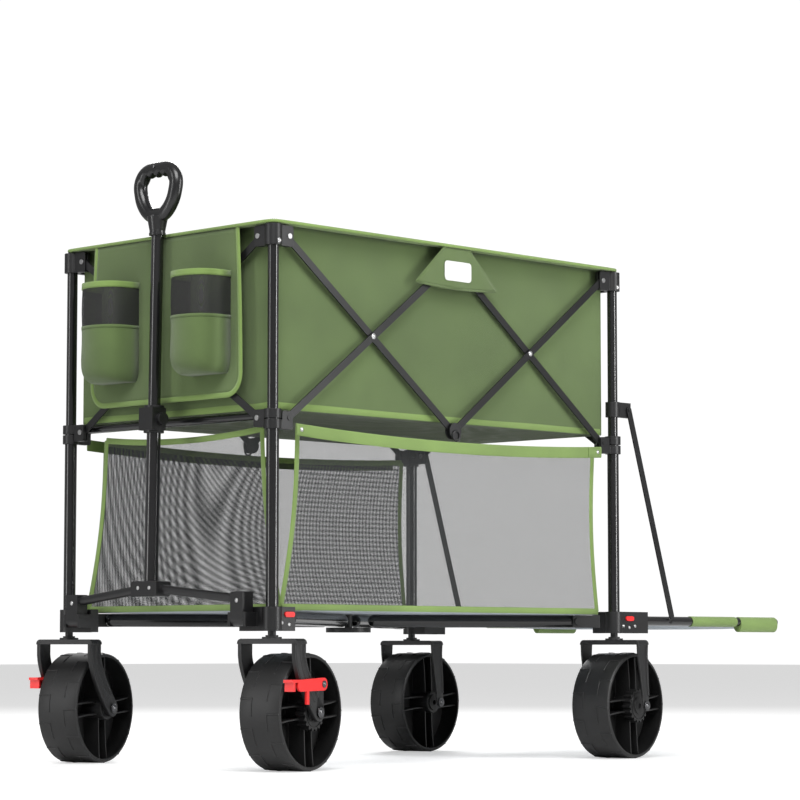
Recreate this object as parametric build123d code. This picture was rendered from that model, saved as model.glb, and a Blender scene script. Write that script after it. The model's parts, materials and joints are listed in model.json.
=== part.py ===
"""Double-decker folding beach cart, in millimetres: +Z up, handle end at -X, tailgate at +X.

Four upright posts on swivel casters carry a fabric basket above and a mesh deck below.
Flat bars cross on the two long sides, so the rear frame slides up to the front frame.
Corner pieces are built in a corner frame: the post is at the origin, +X and +Y point inwards.
"""

import os
from math import atan2, degrees, hypot, sqrt

from build123d import *

# Fits --------------------------------------------------------------------------------
FIT = 0.06
GAP = 0.4
SEAT = 0.3

# Posts -------------------------------------------------------------------------------
POST_SPACING_X = 900.0
POST_SPACING_Y = 540.0
UPPER_POST_R = 9.5
POST_WALL = 1.38
UPPER_POST_WALL = 1.5
LOWER_POST_LENGTH = 362.0
UPPER_POST_INSERT = 180.0
UPPER_POST_SHOWN = 335.0

# Brackets on the posts ---------------------------------------------------------------
BOSS_WALL = 4.0
EAR_LENGTH = 42.0
EAR_THICKNESS = 12.0
EAR_CORNER_R = 4.0
PIVOT_OFFSET = 33.0
TOP_BRACKET_HEIGHT = 36.0
TOP_BRACKET_DROP = 1.0
MID_BRACKET_HEIGHT = 16.0
LOW_PIVOT_RISE = 2.0
SLIDER_HEIGHT = 16.0
SLIDER_GAP = 2.0
SLIDER_EAR_HEIGHT = 31.0
SLIDER_SLOT_TOP = 40.0
PIN_R = 3.0
RIVET_HEAD_R = 4.6
RIVET_HEAD = 1.6

# Flat bars ---------------------------------------------------------------------------
BAR_THICKNESS = 3.0
BAR_HALF_WIDTH = 6.5
HUB_PLATE_R = 15.0
HUB_PLATE = 2.5
STRAP_LOOP_R = 9.0
STRAP_LOOP_WIRE_R = 1.8

# Folding -----------------------------------------------------------------------------
FOLD_TRAVEL = 625.0
FRONT_RAIL_TURN = 88.0
REAR_RAIL_TURN = 62.0

# Base brackets and the floor frame -----------------------------------------------------
BASE_HEIGHT = 41.0
BASE_BOSS_WALL = 6.0
BASE_EAR_LENGTH = 46.0
BASE_EAR_THICKNESS = 18.0
RAIL_RISE = 22.0
RAIL_R = 12.0
CORNER_PIVOT = 78.0
CORNER_PLATE = 4.0
CORNER_PLATE_START = 34.0
CORNER_PLATE_END = 10.0
CORNER_BOLT_R = 7.0
CORNER_BOLT_HEAD = 3.0
HUB_PIVOT = 50.0
HUB_TRAY_R = 42.0
HUB_TRAY = 9.0
HUB_STEM_R = 7.0
BUTTON_LENGTH = 23.0
BUTTON_WIDTH = 9.0
BUTTON_THICKNESS = 5.0
BUTTON_PROUD = 2.5
BUTTON_TRAVEL = 1.5
BUTTON_RISE = 28.0
FRONT_BUTTON_X = 32.0
REAR_BUTTON_X = 30.0

# Casters and wheels ------------------------------------------------------------------
WHEEL_R = 100.0
WHEEL_WIDTH = 82.0
WHEEL_HUB_R = 22.0
WHEEL_HUB_PROUD = 2.0
RIM = 5.0
WEB = 5.0
RIB_HALF = 2.0
RIB_INSET = 6.0
SPOKES = 6
BRAKE_RING_R = 37.0
BRAKE_RING = 6.0
BRAKE_TEETH = 18
TOOTH_DEPTH = 4.0
TOOTH_GAP = 5.0
AXLE_R = 5.0
AXLE_HEAD_R = 9.0
AXLE_HEAD = 5.0
STEM_R = 6.0
STEM_INSERT = 24.0
STEM_COLLAR = 13.0
CROWN_GAP = 14.0
FORK_BRIDGE = 11.0
FRONT_FORK_GAP = 4.0
FRONT_FORK_LEG = 9.0
FRONT_FORK_DEPTH = 17.0
FRONT_TRAIL = 60.0
KNEE_X = 20.0
KNEE_RISE = 58.0
KNEE_R = 14.0
FRONT_FOOT_R = 15.0
REAR_FORK_GAP = 21.0
REAR_FORK_LEG = 4.0
REAR_FORK_DEPTH = 21.0
REAR_TRAIL = 12.0
REAR_FOOT_R = 11.0
STEER = {"front_left": 13.3, "front_right": 17.9, "rear_left": 7.3, "rear_right": 7.5}
PEDAL_PIVOT_X = 64.0
PEDAL_PIVOT_RISE = 48.0
PEDAL_LUG_R = 9.0
PEDAL_REACH = 97.0
PEDAL_PLATE = 4.0
PEDAL_PLATE_R = 11.0
PEDAL_TREAD = 30.0
PEDAL_TREAD_THICKNESS = 5.0
PEDAL_SKIRT = 12.0
PEDAL_SIDE_GAP = 4.0
PEDAL_TOOTH_X = 10.0
PEDAL_TOOTH = 8.0
PEDAL_TOOTH_DROP = 34.0
PEDAL_PIN_R = 4.0
PEDAL_PIN_PROUD = 3.0

# Handle ------------------------------------------------------------------------------
HANDLE_OFFSET = 38.0
HANDLE_LEAN = 0.9
HANDLE_PIVOT_X = 24.0
HANDLE_PIVOT_RISE = 20.0
HANDLE_PIN_R = 4.0
BLOCK_Y0 = 34.0
BLOCK_Y1 = 66.0
BLOCK_HEIGHT = 47.0
BLOCK_R = 12.0
CHEEK = 6.0
ARM_R = 8.0
ARM_DROP = 13.0
ARM_RISE = 14.0
YOKE_HALF_WIDTH = 34.0
YOKE_DEPTH = 34.0
YOKE_DROP = 6.0
YOKE_HEIGHT = 27.0
YOKE_FLOOR = 6.0
HANDLE_UPPER_R = 11.0
HANDLE_UPPER_WALL = 1.5
HANDLE_WALL = 1.34
HANDLE_LOWER_LENGTH = 307.0
HANDLE_INSERT = 40.0
HANDLE_UPPER_LENGTH = 366.0
HANDLE_RETRACT = 240.0
COLLAR_WALL = 5.6
COLLAR_DROP = 25.0
COLLAR_HEIGHT = 48.0
COLLAR_BLOCK_INSET = 4.0
KNOB_R = 11.0
KNOB_LENGTH = 8.0
NECK_HEIGHT = 26.0
NECK_WALL = 3.0
GRIP_SINK = 2.0
GRIP_WIDTH = 130.0
GRIP_HEIGHT = 108.0
GRIP_R = 13.0
GRIP_CORNER_R = 38.0

# Tailgate ----------------------------------------------------------------------------
TAIL_HOUSING = 86.0
TAIL_PIVOT = 64.0
TAIL_WEB = 50.0
TAIL_RISE = 24.0
TAIL_TUBE_R = 9.0
TAIL_CHEEK_GAP = 1.0
TAIL_CHEEK = 3.5
TAIL_LENGTH = 462.0
TAIL_CORNER_R = 30.0
TAIL_PIN_R = 4.0
STRUT_FOOT = 161.0
STRUT_RISE = 10.0
STRUT_PIN_R = 5.0
STRUT_HEAD_X = 35.0
STRUT_HEAD_RISE = 68.0
STRUT_GAP = 1.0
STRUT_HALF_WIDTH = 6.5
STRUT_COLLAR_WALL = 4.5
STRUT_COLLAR_HEIGHT = 29.0
STRUT_LUG = 8.0
STRUT_PIN_PROUD = 2.0
TAIL_PANEL = 12.0
TAIL_PANEL_START = 32.0
PULL_LOOP = 44.0
PULL_LOOP_HALF_WIDTH = 12.0
PULL_LOOP_HALF_HEIGHT = 9.0
PULL_LOOP_THICKNESS = 3.0

# Soft goods --------------------------------------------------------------------------
BASKET_INSET = 16.0
BASKET_WALL = 3.0
BASKET_CLEARANCE = 1.5
HEM_CLEARANCE = 1.5
HEM_HEIGHT = 7.5
HEM_OVERHANG = 13.6
MESH_INSET_X = 32.0
MESH_INSET_Y = 13.0
MESH_WALL = 2.0
MESH_DROP = 3.0
MAT_INSET_X = 22.0
MAT_THICKNESS = 9.0
MAT_CORNER_R = 20.0
PANEL_GAP = 8.0
PANEL_THICKNESS = 3.0
PANEL_HALF_WIDTH = 208.0
PANEL_RISE = 46.0
PANEL_CORNER_R = 36.0
POCKET_CENTRE = 122.0
POCKET_HALF_WIDTH = 54.0
POCKET_DEPTH = 74.0
POCKET_WALL = 3.0
POCKET_RISE = 37.0
POCKET_HEIGHT = 189.0
FRONT_RAIL_R = 7.5
FRONT_RAIL_INSET = 20.0
FRONT_RAIL_RISE = 8.0
FRONT_RAIL_LUG = 9.0
STRAP_WIDTH = 22.0
STRAP_THICKNESS = 1.6
STRAP_SAG = 12.0
STRAP_DROP = 6.0
STRAP_END = 4.0

# Worked out from the values above ----------------------------------------------------
HALF_X = POST_SPACING_X / 2
HALF_Y = POST_SPACING_Y / 2
CORNERS = {
    "front_left": (-1, -1),
    "front_right": (-1, 1),
    "rear_left": (1, -1),
    "rear_right": (1, 1),
}
LOWER_POST_BORE_R = UPPER_POST_R + 2 * FIT
LOWER_POST_R = LOWER_POST_BORE_R + POST_WALL
BOSS_R = LOWER_POST_R + BOSS_WALL
BASE_BOSS_R = LOWER_POST_R + BASE_BOSS_WALL
FORK_TOP_Z = 2 * WHEEL_R + CROWN_GAP + FORK_BRIDGE
BASE_Z = FORK_TOP_Z + STEM_COLLAR
MID_Z = BASE_Z + LOWER_POST_LENGTH
POST_TOP_Z = MID_Z + UPPER_POST_SHOWN
TOP_BRACKET_Z = POST_TOP_Z - TOP_BRACKET_DROP - TOP_BRACKET_HEIGHT
TOP_PIVOT_Z = TOP_BRACKET_Z + TOP_BRACKET_HEIGHT / 2
LOW_PIVOT_Z = MID_Z + LOW_PIVOT_RISE
SLIDER_Z = MID_Z - SLIDER_GAP - SLIDER_HEIGHT
BAR_LAYER = BAR_THICKNESS / 2 + GAP
BAR_SLOT = BAR_THICKNESS + 2 * SEAT
BAR_REACH = HALF_X - PIVOT_OFFSET
BAR_RISE = TOP_PIVOT_Z - LOW_PIVOT_Z
BAR_LENGTH = hypot(BAR_REACH, BAR_RISE)
FOLDED_REACH = BAR_REACH - FOLD_TRAVEL / 2
FOLDED_RISE = sqrt(BAR_LENGTH**2 - FOLDED_REACH**2)
SLIDER_DROP = FOLDED_RISE - BAR_RISE
BAR_TURN = degrees(atan2(FOLDED_RISE, FOLDED_REACH) - atan2(BAR_RISE, BAR_REACH))
DIAGONAL = hypot(HALF_X, HALF_Y)
DIAGONAL_X = HALF_X / DIAGONAL
DIAGONAL_Y = HALF_Y / DIAGONAL
RAIL_Z = BASE_Z + RAIL_RISE
RAIL_LENGTH = DIAGONAL - CORNER_PIVOT - HUB_PIVOT
HUB_SHIFT = FOLD_TRAVEL / 2
HUB_RISE = sqrt(
    RAIL_LENGTH**2
    - (RAIL_LENGTH * DIAGONAL_X - HUB_SHIFT) ** 2
    - (RAIL_LENGTH * DIAGONAL_Y) ** 2
)
BUTTON_Z = BASE_Z + BUTTON_RISE
FRONT_FORK_WIDTH = WHEEL_WIDTH + 2 * (BRAKE_RING + FRONT_FORK_GAP + FRONT_FORK_LEG)
REAR_FORK_WIDTH = WHEEL_WIDTH + 2 * (REAR_FORK_GAP + REAR_FORK_LEG)
WHEEL_HUB_WIDTH = WHEEL_WIDTH + 2 * (BRAKE_RING + WHEEL_HUB_PROUD)
KNEE = (KNEE_X, WHEEL_R + KNEE_RISE)
PEDAL_PIVOT_Z = WHEEL_R + PEDAL_PIVOT_RISE
HANDLE_X = -HALF_X - HANDLE_OFFSET
HANDLE_PIVOT_Z = BASE_Z + HANDLE_PIVOT_RISE
BLOCK_TOP_Z = HANDLE_PIVOT_Z + BLOCK_HEIGHT
YOKE_Z = BLOCK_TOP_Z - YOKE_DROP
HANDLE_LOWER_R = HANDLE_UPPER_R + FIT + HANDLE_WALL
HANDLE_LOWER_Z = YOKE_Z + YOKE_FLOOR
HANDLE_LOWER_TOP_Z = HANDLE_LOWER_Z + HANDLE_LOWER_LENGTH
HANDLE_UPPER_Z = HANDLE_LOWER_TOP_Z - HANDLE_INSERT
COLLAR_R = HANDLE_LOWER_R + COLLAR_WALL
COLLAR_Z = HANDLE_LOWER_TOP_Z - COLLAR_DROP
NECK_Z = HANDLE_UPPER_Z + HANDLE_UPPER_LENGTH
NECK_R = HANDLE_UPPER_R + NECK_WALL
GRIP_TOP_Z = NECK_Z + NECK_HEIGHT - GRIP_SINK + GRIP_HEIGHT
TAIL_Z = BASE_Z + TAIL_RISE
TAIL_PIVOT_X = HALF_X + TAIL_PIVOT
STRUT_FOOT_Z = TAIL_Z + STRUT_RISE
STRUT_HEAD_Z = MID_Z + STRUT_HEAD_RISE
STRUT_HEAD = (HALF_X + STRUT_HEAD_X, STRUT_HEAD_Z)
STRUT_LENGTH = hypot(STRUT_FOOT - STRUT_HEAD_X, STRUT_HEAD_Z - STRUT_FOOT_Z)
STRUT_COLLAR_R = UPPER_POST_R + STRUT_COLLAR_WALL
CLOSED_FOOT_X = TAIL_PIVOT - STRUT_RISE - STRUT_HEAD_X
CLOSED_FOOT_Z = TAIL_Z + STRUT_FOOT - TAIL_PIVOT
COLLAR_LIFT = CLOSED_FOOT_Z + sqrt(STRUT_LENGTH**2 - CLOSED_FOOT_X**2) - STRUT_HEAD_Z
BASKET_BOTTOM_Z = MID_Z + MID_BRACKET_HEIGHT + BASKET_CLEARANCE
HEM_Z = POST_TOP_Z + HEM_CLEARANCE + HEM_HEIGHT
MAT_BOTTOM_Z = RAIL_Z + RAIL_R + SEAT
MAT_TOP_Z = MAT_BOTTOM_Z + MAT_THICKNESS
MESH_TOP_Z = MID_Z - MESH_DROP
PANEL_BOTTOM_Z = MID_Z + PANEL_RISE
POCKET_BOTTOM_Z = PANEL_BOTTOM_Z + POCKET_RISE
POCKET_TOP_Z = POCKET_BOTTOM_Z + POCKET_HEIGHT
FRONT_RAIL_Z = MID_Z + FRONT_RAIL_RISE
STRAP_Z = MID_Z - STRAP_DROP


# Helpers -----------------------------------------------------------------------------
def block(x0, x1, y0, y1, z0, z1):
    centre = Pos((x0 + x1) / 2, (y0 + y1) / 2, (z0 + z1) / 2)
    return centre * Box(abs(x1 - x0), abs(y1 - y0), abs(z1 - z0))


def rod(start, end, radius):
    start, end = Vector(*start), Vector(*end)
    along = end - start
    low = (Align.CENTER, Align.CENTER, Align.MIN)
    return Plane(origin=start, z_dir=along) * Cylinder(radius, along.length, align=low)


def upright(radius, z0, z1, x=0.0, y=0.0):
    return rod((x, y, z0), (x, y, z1), radius)


def tube(outer, inner, z0, z1):
    return upright(outer, z0, z1) - upright(inner, z0, z1)


def cross_pin(radius, x, z, y0, y1):
    return rod((x, y0, z), (x, y1, z), radius)


def long_plate(a, b, radius_a, radius_b, y0, y1):
    """A plate with round ends in the XZ plane, from y0 to y1; a and b are (x, z)."""
    rounds = [Pos(a[0], a[1]) * Circle(radius_a), Pos(b[0], b[1]) * Circle(radius_b)]
    outline = make_hull([edge for disc in rounds for edge in disc.edges()])
    facing = Plane(origin=(0, y1, 0), x_dir=(1, 0, 0), z_dir=(0, -1, 0))
    return extrude(facing * outline, y1 - y0)


def turned_to_y(shape):
    """The same piece with the corner frame's X and Y exchanged."""
    return shape.rotate(Axis.Z, 90).mirror(Plane.YZ)


def at_corner(shape, corner):
    side_x, side_y = CORNERS[corner]
    if side_x > 0:
        shape = shape.mirror(Plane.YZ)
    if side_y > 0:
        shape = shape.mirror(Plane.XZ)
    return Pos(side_x * HALF_X, side_y * HALF_Y, 0) * shape


def both_sides(shape):
    """A piece of the left side and its mirror on the right."""
    return [shape, shape.mirror(Plane.XZ)]


def end_corners(end):
    return [name for name in CORNERS if name.startswith(end)]


# Posts and their brackets --------------------------------------------------------------
def post(corner):
    """Lower and upper tube of one post, the upper one standing in the lower one."""
    lower = tube(LOWER_POST_R, LOWER_POST_BORE_R, BASE_Z, MID_Z)
    upper = tube(UPPER_POST_R, UPPER_POST_R - UPPER_POST_WALL, MID_Z - UPPER_POST_INSERT, POST_TOP_Z)
    return [at_corner(lower, corner), at_corner(upper, corner)]


def ear(z0, height, start, layer):
    """An ear along X with the slot for one bar, and its pin."""
    half = EAR_THICKNESS / 2
    body = block(start, EAR_LENGTH, -half, half, z0, z0 + height)
    corner_edges = body.edges().filter_by(Axis.Y).group_by(Axis.X)[-1]
    return fillet(corner_edges, EAR_CORNER_R) - bar_slot(layer, z0 - 1, z0 + height + 1)


def bar_slot(layer, z0, z1):
    """The room for a bar in an ear, from just behind its round end outwards."""
    start = PIVOT_OFFSET - BAR_HALF_WIDTH - 2 * GAP
    y = layer * BAR_LAYER
    return block(start, EAR_LENGTH + 1, y - BAR_SLOT / 2, y + BAR_SLOT / 2, z0, z1)


def ear_pin(z):
    half = EAR_THICKNESS / 2 + RIVET_HEAD
    return cross_pin(PIN_R, PIVOT_OFFSET, z, -half, half)


def side_layer(end, level):
    """Which of the two planes a side bar lies in: -1 is the outer one, +1 the inner one."""
    return -1 if (level == "low") == (end == "front") else 1


def end_layer(corner, level):
    """The same for a bar across the end, from the top of one post to the middle of the other."""
    left = CORNERS[corner][1] < 0
    return 1 if left == (level == "top") else -1


def top_bracket(corner):
    body = upright(BOSS_R, TOP_BRACKET_Z, TOP_BRACKET_Z + TOP_BRACKET_HEIGHT)
    end = corner.split("_")[0]
    body += ear(TOP_BRACKET_Z, TOP_BRACKET_HEIGHT, 0, side_layer(end, "top"))
    body += turned_to_y(ear(TOP_BRACKET_Z, TOP_BRACKET_HEIGHT, 0, end_layer(corner, "top")))
    body -= upright(UPPER_POST_R + FIT, TOP_BRACKET_Z - 1, POST_TOP_Z + 10)
    body -= ear_pin(TOP_PIVOT_Z)
    body -= turned_to_y(ear_pin(TOP_PIVOT_Z))
    return at_corner(body, corner)


def mid_bracket(corner):
    """The fixed bracket at the top of the lower tube, for the bars across the end."""
    low, high = MID_Z, MID_Z + MID_BRACKET_HEIGHT
    body = upright(BOSS_R, low, high)
    ear_z = LOW_PIVOT_Z - MID_BRACKET_HEIGHT
    layer = end_layer(corner, "low")
    body += turned_to_y(ear(ear_z, 2 * MID_BRACKET_HEIGHT - 2, BOSS_R + 1, layer))
    body += turned_to_y(block(0, BOSS_R + 3, -EAR_THICKNESS / 2, EAR_THICKNESS / 2, low, high))
    if corner.startswith("front"):
        lug = FRONT_RAIL_INSET + FRONT_RAIL_R
        body += block(0, lug, BOSS_R - BOSS_WALL, BOSS_R + FRONT_RAIL_LUG, low, high)
    body -= upright(UPPER_POST_R + FIT, low - 1, high + 1)
    body -= turned_to_y(ear_pin(LOW_PIVOT_Z))
    return at_corner(body, corner)


def slider(corner):
    """The ring that runs down the lower tube as the side bars close up."""
    low, high = SLIDER_Z, SLIDER_Z + SLIDER_HEIGHT
    layer = side_layer(corner.split("_")[0], "low")
    body = upright(BOSS_R, low, high)
    body += block(0, PIVOT_OFFSET, -EAR_THICKNESS / 2, EAR_THICKNESS / 2, low, high)
    body += ear(low, SLIDER_EAR_HEIGHT, BOSS_R + 2, layer)
    body -= bar_slot(layer, low - 1, MID_Z + SLIDER_SLOT_TOP)
    body -= upright(LOWER_POST_R + FIT, low - 1, high + 1)
    body -= ear_pin(LOW_PIVOT_Z)
    return at_corner(body, corner)


def rivet(z):
    """A pin through an ear with a domed head on each face."""
    half = EAR_THICKNESS / 2
    body = cross_pin(PIN_R - FIT, PIVOT_OFFSET, z, -half - RIVET_HEAD, half + RIVET_HEAD)
    for side in (-1, 1):
        near, far = side * half, side * (half + RIVET_HEAD)
        body += cross_pin(RIVET_HEAD_R, PIVOT_OFFSET, z, near, far)
    return body


def frame_rivets(end):
    """The rivets that stay with one end frame: two in each top bracket, one in each mid bracket."""
    pieces = []
    for corner in end_corners(end):
        pieces.append(at_corner(rivet(TOP_PIVOT_Z), corner))
        pieces.append(at_corner(turned_to_y(rivet(TOP_PIVOT_Z)), corner))
        pieces.append(at_corner(turned_to_y(rivet(LOW_PIVOT_Z)), corner))
    return pieces


def sliders(end):
    pieces = []
    for corner in end_corners(end):
        pieces += [slider(corner), at_corner(rivet(LOW_PIVOT_Z), corner)]
    return pieces


# Flat bars -----------------------------------------------------------------------------
def bar(a, b, layer):
    """One flat bar from its hinge at a to its free end at b, both (x, z) from the post."""
    y0 = layer * BAR_LAYER - BAR_THICKNESS / 2
    body = long_plate(a, b, BAR_HALF_WIDTH, BAR_HALF_WIDTH, y0, y0 + BAR_THICKNESS)
    return body - cross_pin(PIN_R, a[0], a[1], -EAR_THICKNESS, EAR_THICKNESS)


def side_bars(end, level):
    """Two identical bars, left and right, hinged at the top brackets or at the sliders."""
    top, low = (PIVOT_OFFSET, TOP_PIVOT_Z), (PIVOT_OFFSET, LOW_PIVOT_Z)
    top_hub, low_hub = (HALF_X, TOP_PIVOT_Z), (HALF_X, LOW_PIVOT_Z)
    layer = side_layer(end, level)
    body = bar(low, top_hub, layer) if level == "low" else bar(top, low_hub, layer)
    return [at_corner(body, corner) for corner in end_corners(end)]


def end_bars(end):
    """The two bars that cross between the posts of one end."""
    top, low = (PIVOT_OFFSET, TOP_PIVOT_Z), (PIVOT_OFFSET, LOW_PIVOT_Z)
    across = POST_SPACING_Y - PIVOT_OFFSET
    pieces = []
    for corner in end_corners(end):
        body = bar(top, (across, LOW_PIVOT_Z), end_layer(corner, "top"))
        body -= cross_pin(PIN_R, across, LOW_PIVOT_Z, -EAR_THICKNESS, EAR_THICKNESS)
        pieces.append(at_corner(turned_to_y(body), corner))
    return pieces


def hub_plates(z):
    """An outer and an inner cover plate over the two bar ends that meet at mid length."""
    inner_face = BAR_LAYER + BAR_THICKNESS / 2 + GAP
    outer = cross_pin(HUB_PLATE_R, 0, z, -inner_face - HUB_PLATE, -inner_face)
    inner = cross_pin(HUB_PLATE_R, 0, z, inner_face, inner_face + HUB_PLATE)
    return [outer, inner]


def side_hubs(z, with_loop):
    pieces = []
    for side in (-1, 1):
        plates = hub_plates(z)
        if with_loop:
            face = -BAR_LAYER - BAR_THICKNESS / 2 - GAP - HUB_PLATE
            ring = Torus(STRAP_LOOP_R, STRAP_LOOP_WIRE_R).rotate(Axis.X, 90)
            plates.append(Pos(0, face - STRAP_LOOP_WIRE_R, z - STRAP_LOOP_R) * ring)
        for piece in plates:
            piece = piece if side < 0 else piece.mirror(Plane.XZ)
            pieces.append(Pos(0, side * HALF_Y, 0) * piece)
    return pieces


# Base brackets, floor frame and release buttons ------------------------------------------
def button_shape(margin, y0, y1, x):
    outline = SlotOverall(BUTTON_LENGTH + 2 * margin, BUTTON_WIDTH + 2 * margin)
    facing = Plane(origin=(x, y1, BUTTON_Z), x_dir=(1, 0, 0), z_dir=(0, -1, 0))
    return extrude(facing * outline, y1 - y0)


def corner_plate():
    """The curved plate that carries the floor rail's pivot bolt, outside the rail."""
    face = -RAIL_R - GAP
    end = CORNER_PIVOT + CORNER_PLATE_END
    low, high = RAIL_Z - RAIL_R, RAIL_Z + RAIL_R
    plate = block(CORNER_PLATE_START, end, face - CORNER_PLATE, face, low, high)
    ends = plate.edges().filter_by(Axis.Y).group_by(Axis.X)[-1]
    plate = fillet(ends, RAIL_R / 2)
    head = face - CORNER_PLATE - CORNER_BOLT_HEAD
    plate += cross_pin(CORNER_BOLT_R, CORNER_PIVOT, RAIL_Z, head, face - CORNER_PLATE)
    return plate.rotate(Axis.Z, degrees(atan2(HALF_Y, HALF_X)))


def handle_cheeks():
    """The two cheeks on a front base bracket that hold one hinge block of the handle yoke."""
    half = BASE_EAR_THICKNESS / 2
    low, high = HANDLE_PIVOT_Z - BLOCK_R, HANDLE_PIVOT_Z + BLOCK_R
    body = block(-half, half, BASE_EAR_LENGTH, BLOCK_Y1 + CHEEK, BASE_Z, BASE_Z + BASE_HEIGHT)
    for y in (BLOCK_Y0 - CHEEK, BLOCK_Y1 + SEAT):
        body += block(-HANDLE_PIVOT_X - BLOCK_R, 0, y, y + CHEEK - SEAT, low, high)
    return body


def tail_housing():
    """The forked housing on a rear base bracket that a tailgate tube turns in."""
    gap = TAIL_TUBE_R + TAIL_CHEEK_GAP
    low, high = BASE_Z, BASE_Z + BASE_HEIGHT
    body = block(-TAIL_HOUSING, 0, -gap - TAIL_CHEEK, gap + TAIL_CHEEK, low, high)
    return body - block(-TAIL_HOUSING - 1, -TAIL_WEB, -gap, gap, low - 1, high + 1)


def base_bracket(corner):
    half = BASE_EAR_THICKNESS / 2
    low, high = BASE_Z, BASE_Z + BASE_HEIGHT
    front = corner.startswith("front")
    body = upright(BASE_BOSS_R, low, high) + block(-half, half, 0, BASE_EAR_LENGTH, low, high)
    if front:
        body += block(0, BASE_EAR_LENGTH, -half, half, low, high) + handle_cheeks()
        body -= cross_pin(HANDLE_PIN_R, -HANDLE_PIVOT_X, HANDLE_PIVOT_Z, 0, 2 * BLOCK_Y1)
    else:
        body += tail_housing()
        body -= cross_pin(TAIL_PIN_R, -TAIL_PIVOT, TAIL_Z, -half - BLOCK_Y0, half + BLOCK_Y0)
    body += corner_plate()
    face, button_x = button_place(front)
    depth = BUTTON_THICKNESS + BUTTON_TRAVEL
    body -= button_shape(SEAT, -face - 1, -face + depth, button_x)
    body -= upright(LOWER_POST_R + FIT, low - 1, high + 1)
    return at_corner(body, corner)


def button_place(front):
    """How far the outer face with the release button is from the post, and the button's X."""
    if front:
        return BASE_EAR_THICKNESS / 2, FRONT_BUTTON_X
    return TAIL_TUBE_R + TAIL_CHEEK_GAP + TAIL_CHEEK, -REAR_BUTTON_X


def stem_bush(corner):
    """The bush in the foot of the post that the caster stem turns in."""
    body = tube(LOWER_POST_BORE_R - FIT, STEM_R + FIT, BASE_Z, BASE_Z + STEM_INSERT)
    return at_corner(body, corner)


def base_brackets(end):
    pieces = []
    for corner in end_corners(end):
        pieces += [base_bracket(corner), stem_bush(corner)]
        if end == "front":
            y0, y1 = BLOCK_Y0 - CHEEK, BLOCK_Y1 + CHEEK
            pin = cross_pin(HANDLE_PIN_R - FIT, -HANDLE_PIVOT_X, HANDLE_PIVOT_Z, y0, y1)
        else:
            wide = TAIL_TUBE_R + TAIL_CHEEK_GAP + TAIL_CHEEK
            pin = cross_pin(TAIL_PIN_R - FIT, -TAIL_PIVOT, TAIL_Z, -wide, wide)
        pieces.append(at_corner(pin, corner))
    return pieces


def release_button(corner):
    face, x = button_place(corner.startswith("front"))
    outer = -face - BUTTON_PROUD
    body = button_shape(0, outer, outer + BUTTON_THICKNESS, x)
    return at_corner(body, corner)


def floor_rail(corner):
    """One of the four tubes from the corners to the hub, with ball ends."""
    reach = CORNER_PIVOT - RAIL_R
    start = (reach * DIAGONAL_X, reach * DIAGONAL_Y, RAIL_Z)
    reach = CORNER_PIVOT + RAIL_LENGTH + RAIL_R
    end = (reach * DIAGONAL_X, reach * DIAGONAL_Y, RAIL_Z)
    body = rod(start, end, RAIL_R)
    round_ends = body.edges().filter_by(GeomType.CIRCLE)
    return at_corner(fillet(round_ends, RAIL_R - FIT), corner)


def floor_hub():
    """The tray under the rails' inner ends, with the stem that lifts it through the mat."""
    top = RAIL_Z - RAIL_R - GAP
    return upright(HUB_TRAY_R, top - HUB_TRAY, top) + upright(HUB_STEM_R, top - 1, MAT_BOTTOM_Z - SEAT)


# Casters -------------------------------------------------------------------------------
def steered(shape, corner):
    """A caster piece, built trailing along +X, turned to its corner's rest angle."""
    side_x, side_y = CORNERS[corner]
    return Pos(side_x * HALF_X, side_y * HALF_Y, 0) * shape.rotate(Axis.Z, STEER[corner])


def trail(corner):
    return FRONT_TRAIL if corner.startswith("front") else REAR_TRAIL


def outer_side(shape, corner):
    """A piece built at -Y, on the caster's outer side at either side of the cart."""
    return shape if CORNERS[corner][1] < 0 else shape.mirror(Plane.XZ)


def front_leg(y0, y1):
    """One leg that swings back from the head to the axle over a rounded knee."""
    low = FORK_TOP_Z - 2 * FRONT_FORK_DEPTH
    body = block(-FRONT_FORK_DEPTH, FRONT_FORK_DEPTH, y0, y1, low, FORK_TOP_Z)
    body += long_plate((0, low), KNEE, FRONT_FORK_DEPTH, KNEE_R, y0, y1)
    return body + long_plate(KNEE, (FRONT_TRAIL, WHEEL_R), KNEE_R, FRONT_FOOT_R, y0, y1)


def rear_leg(y0, y1):
    """One straight leg that tapers from the head to the axle."""
    low = FORK_TOP_Z - 2 * REAR_FORK_DEPTH
    body = block(-REAR_FORK_DEPTH, REAR_FORK_DEPTH, y0, y1, low, FORK_TOP_Z)
    return body + long_plate((0, low), (REAR_TRAIL, WHEEL_R), REAR_FORK_DEPTH, REAR_FOOT_R, y0, y1)


def pedal_mount():
    """The lug and the pin on the outer leg that the brake pedal turns on."""
    outer = -FRONT_FORK_WIDTH / 2
    inner = outer + FRONT_FORK_LEG
    pivot = (PEDAL_PIVOT_X, PEDAL_PIVOT_Z)
    lug = long_plate(pivot, (FRONT_TRAIL, WHEEL_R), PEDAL_LUG_R, FRONT_FOOT_R - 3, outer, inner)
    return lug + cross_pin(PEDAL_PIN_R, *pivot, outer - GAP - PEDAL_PLATE - PEDAL_PIN_PROUD, inner)


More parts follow.
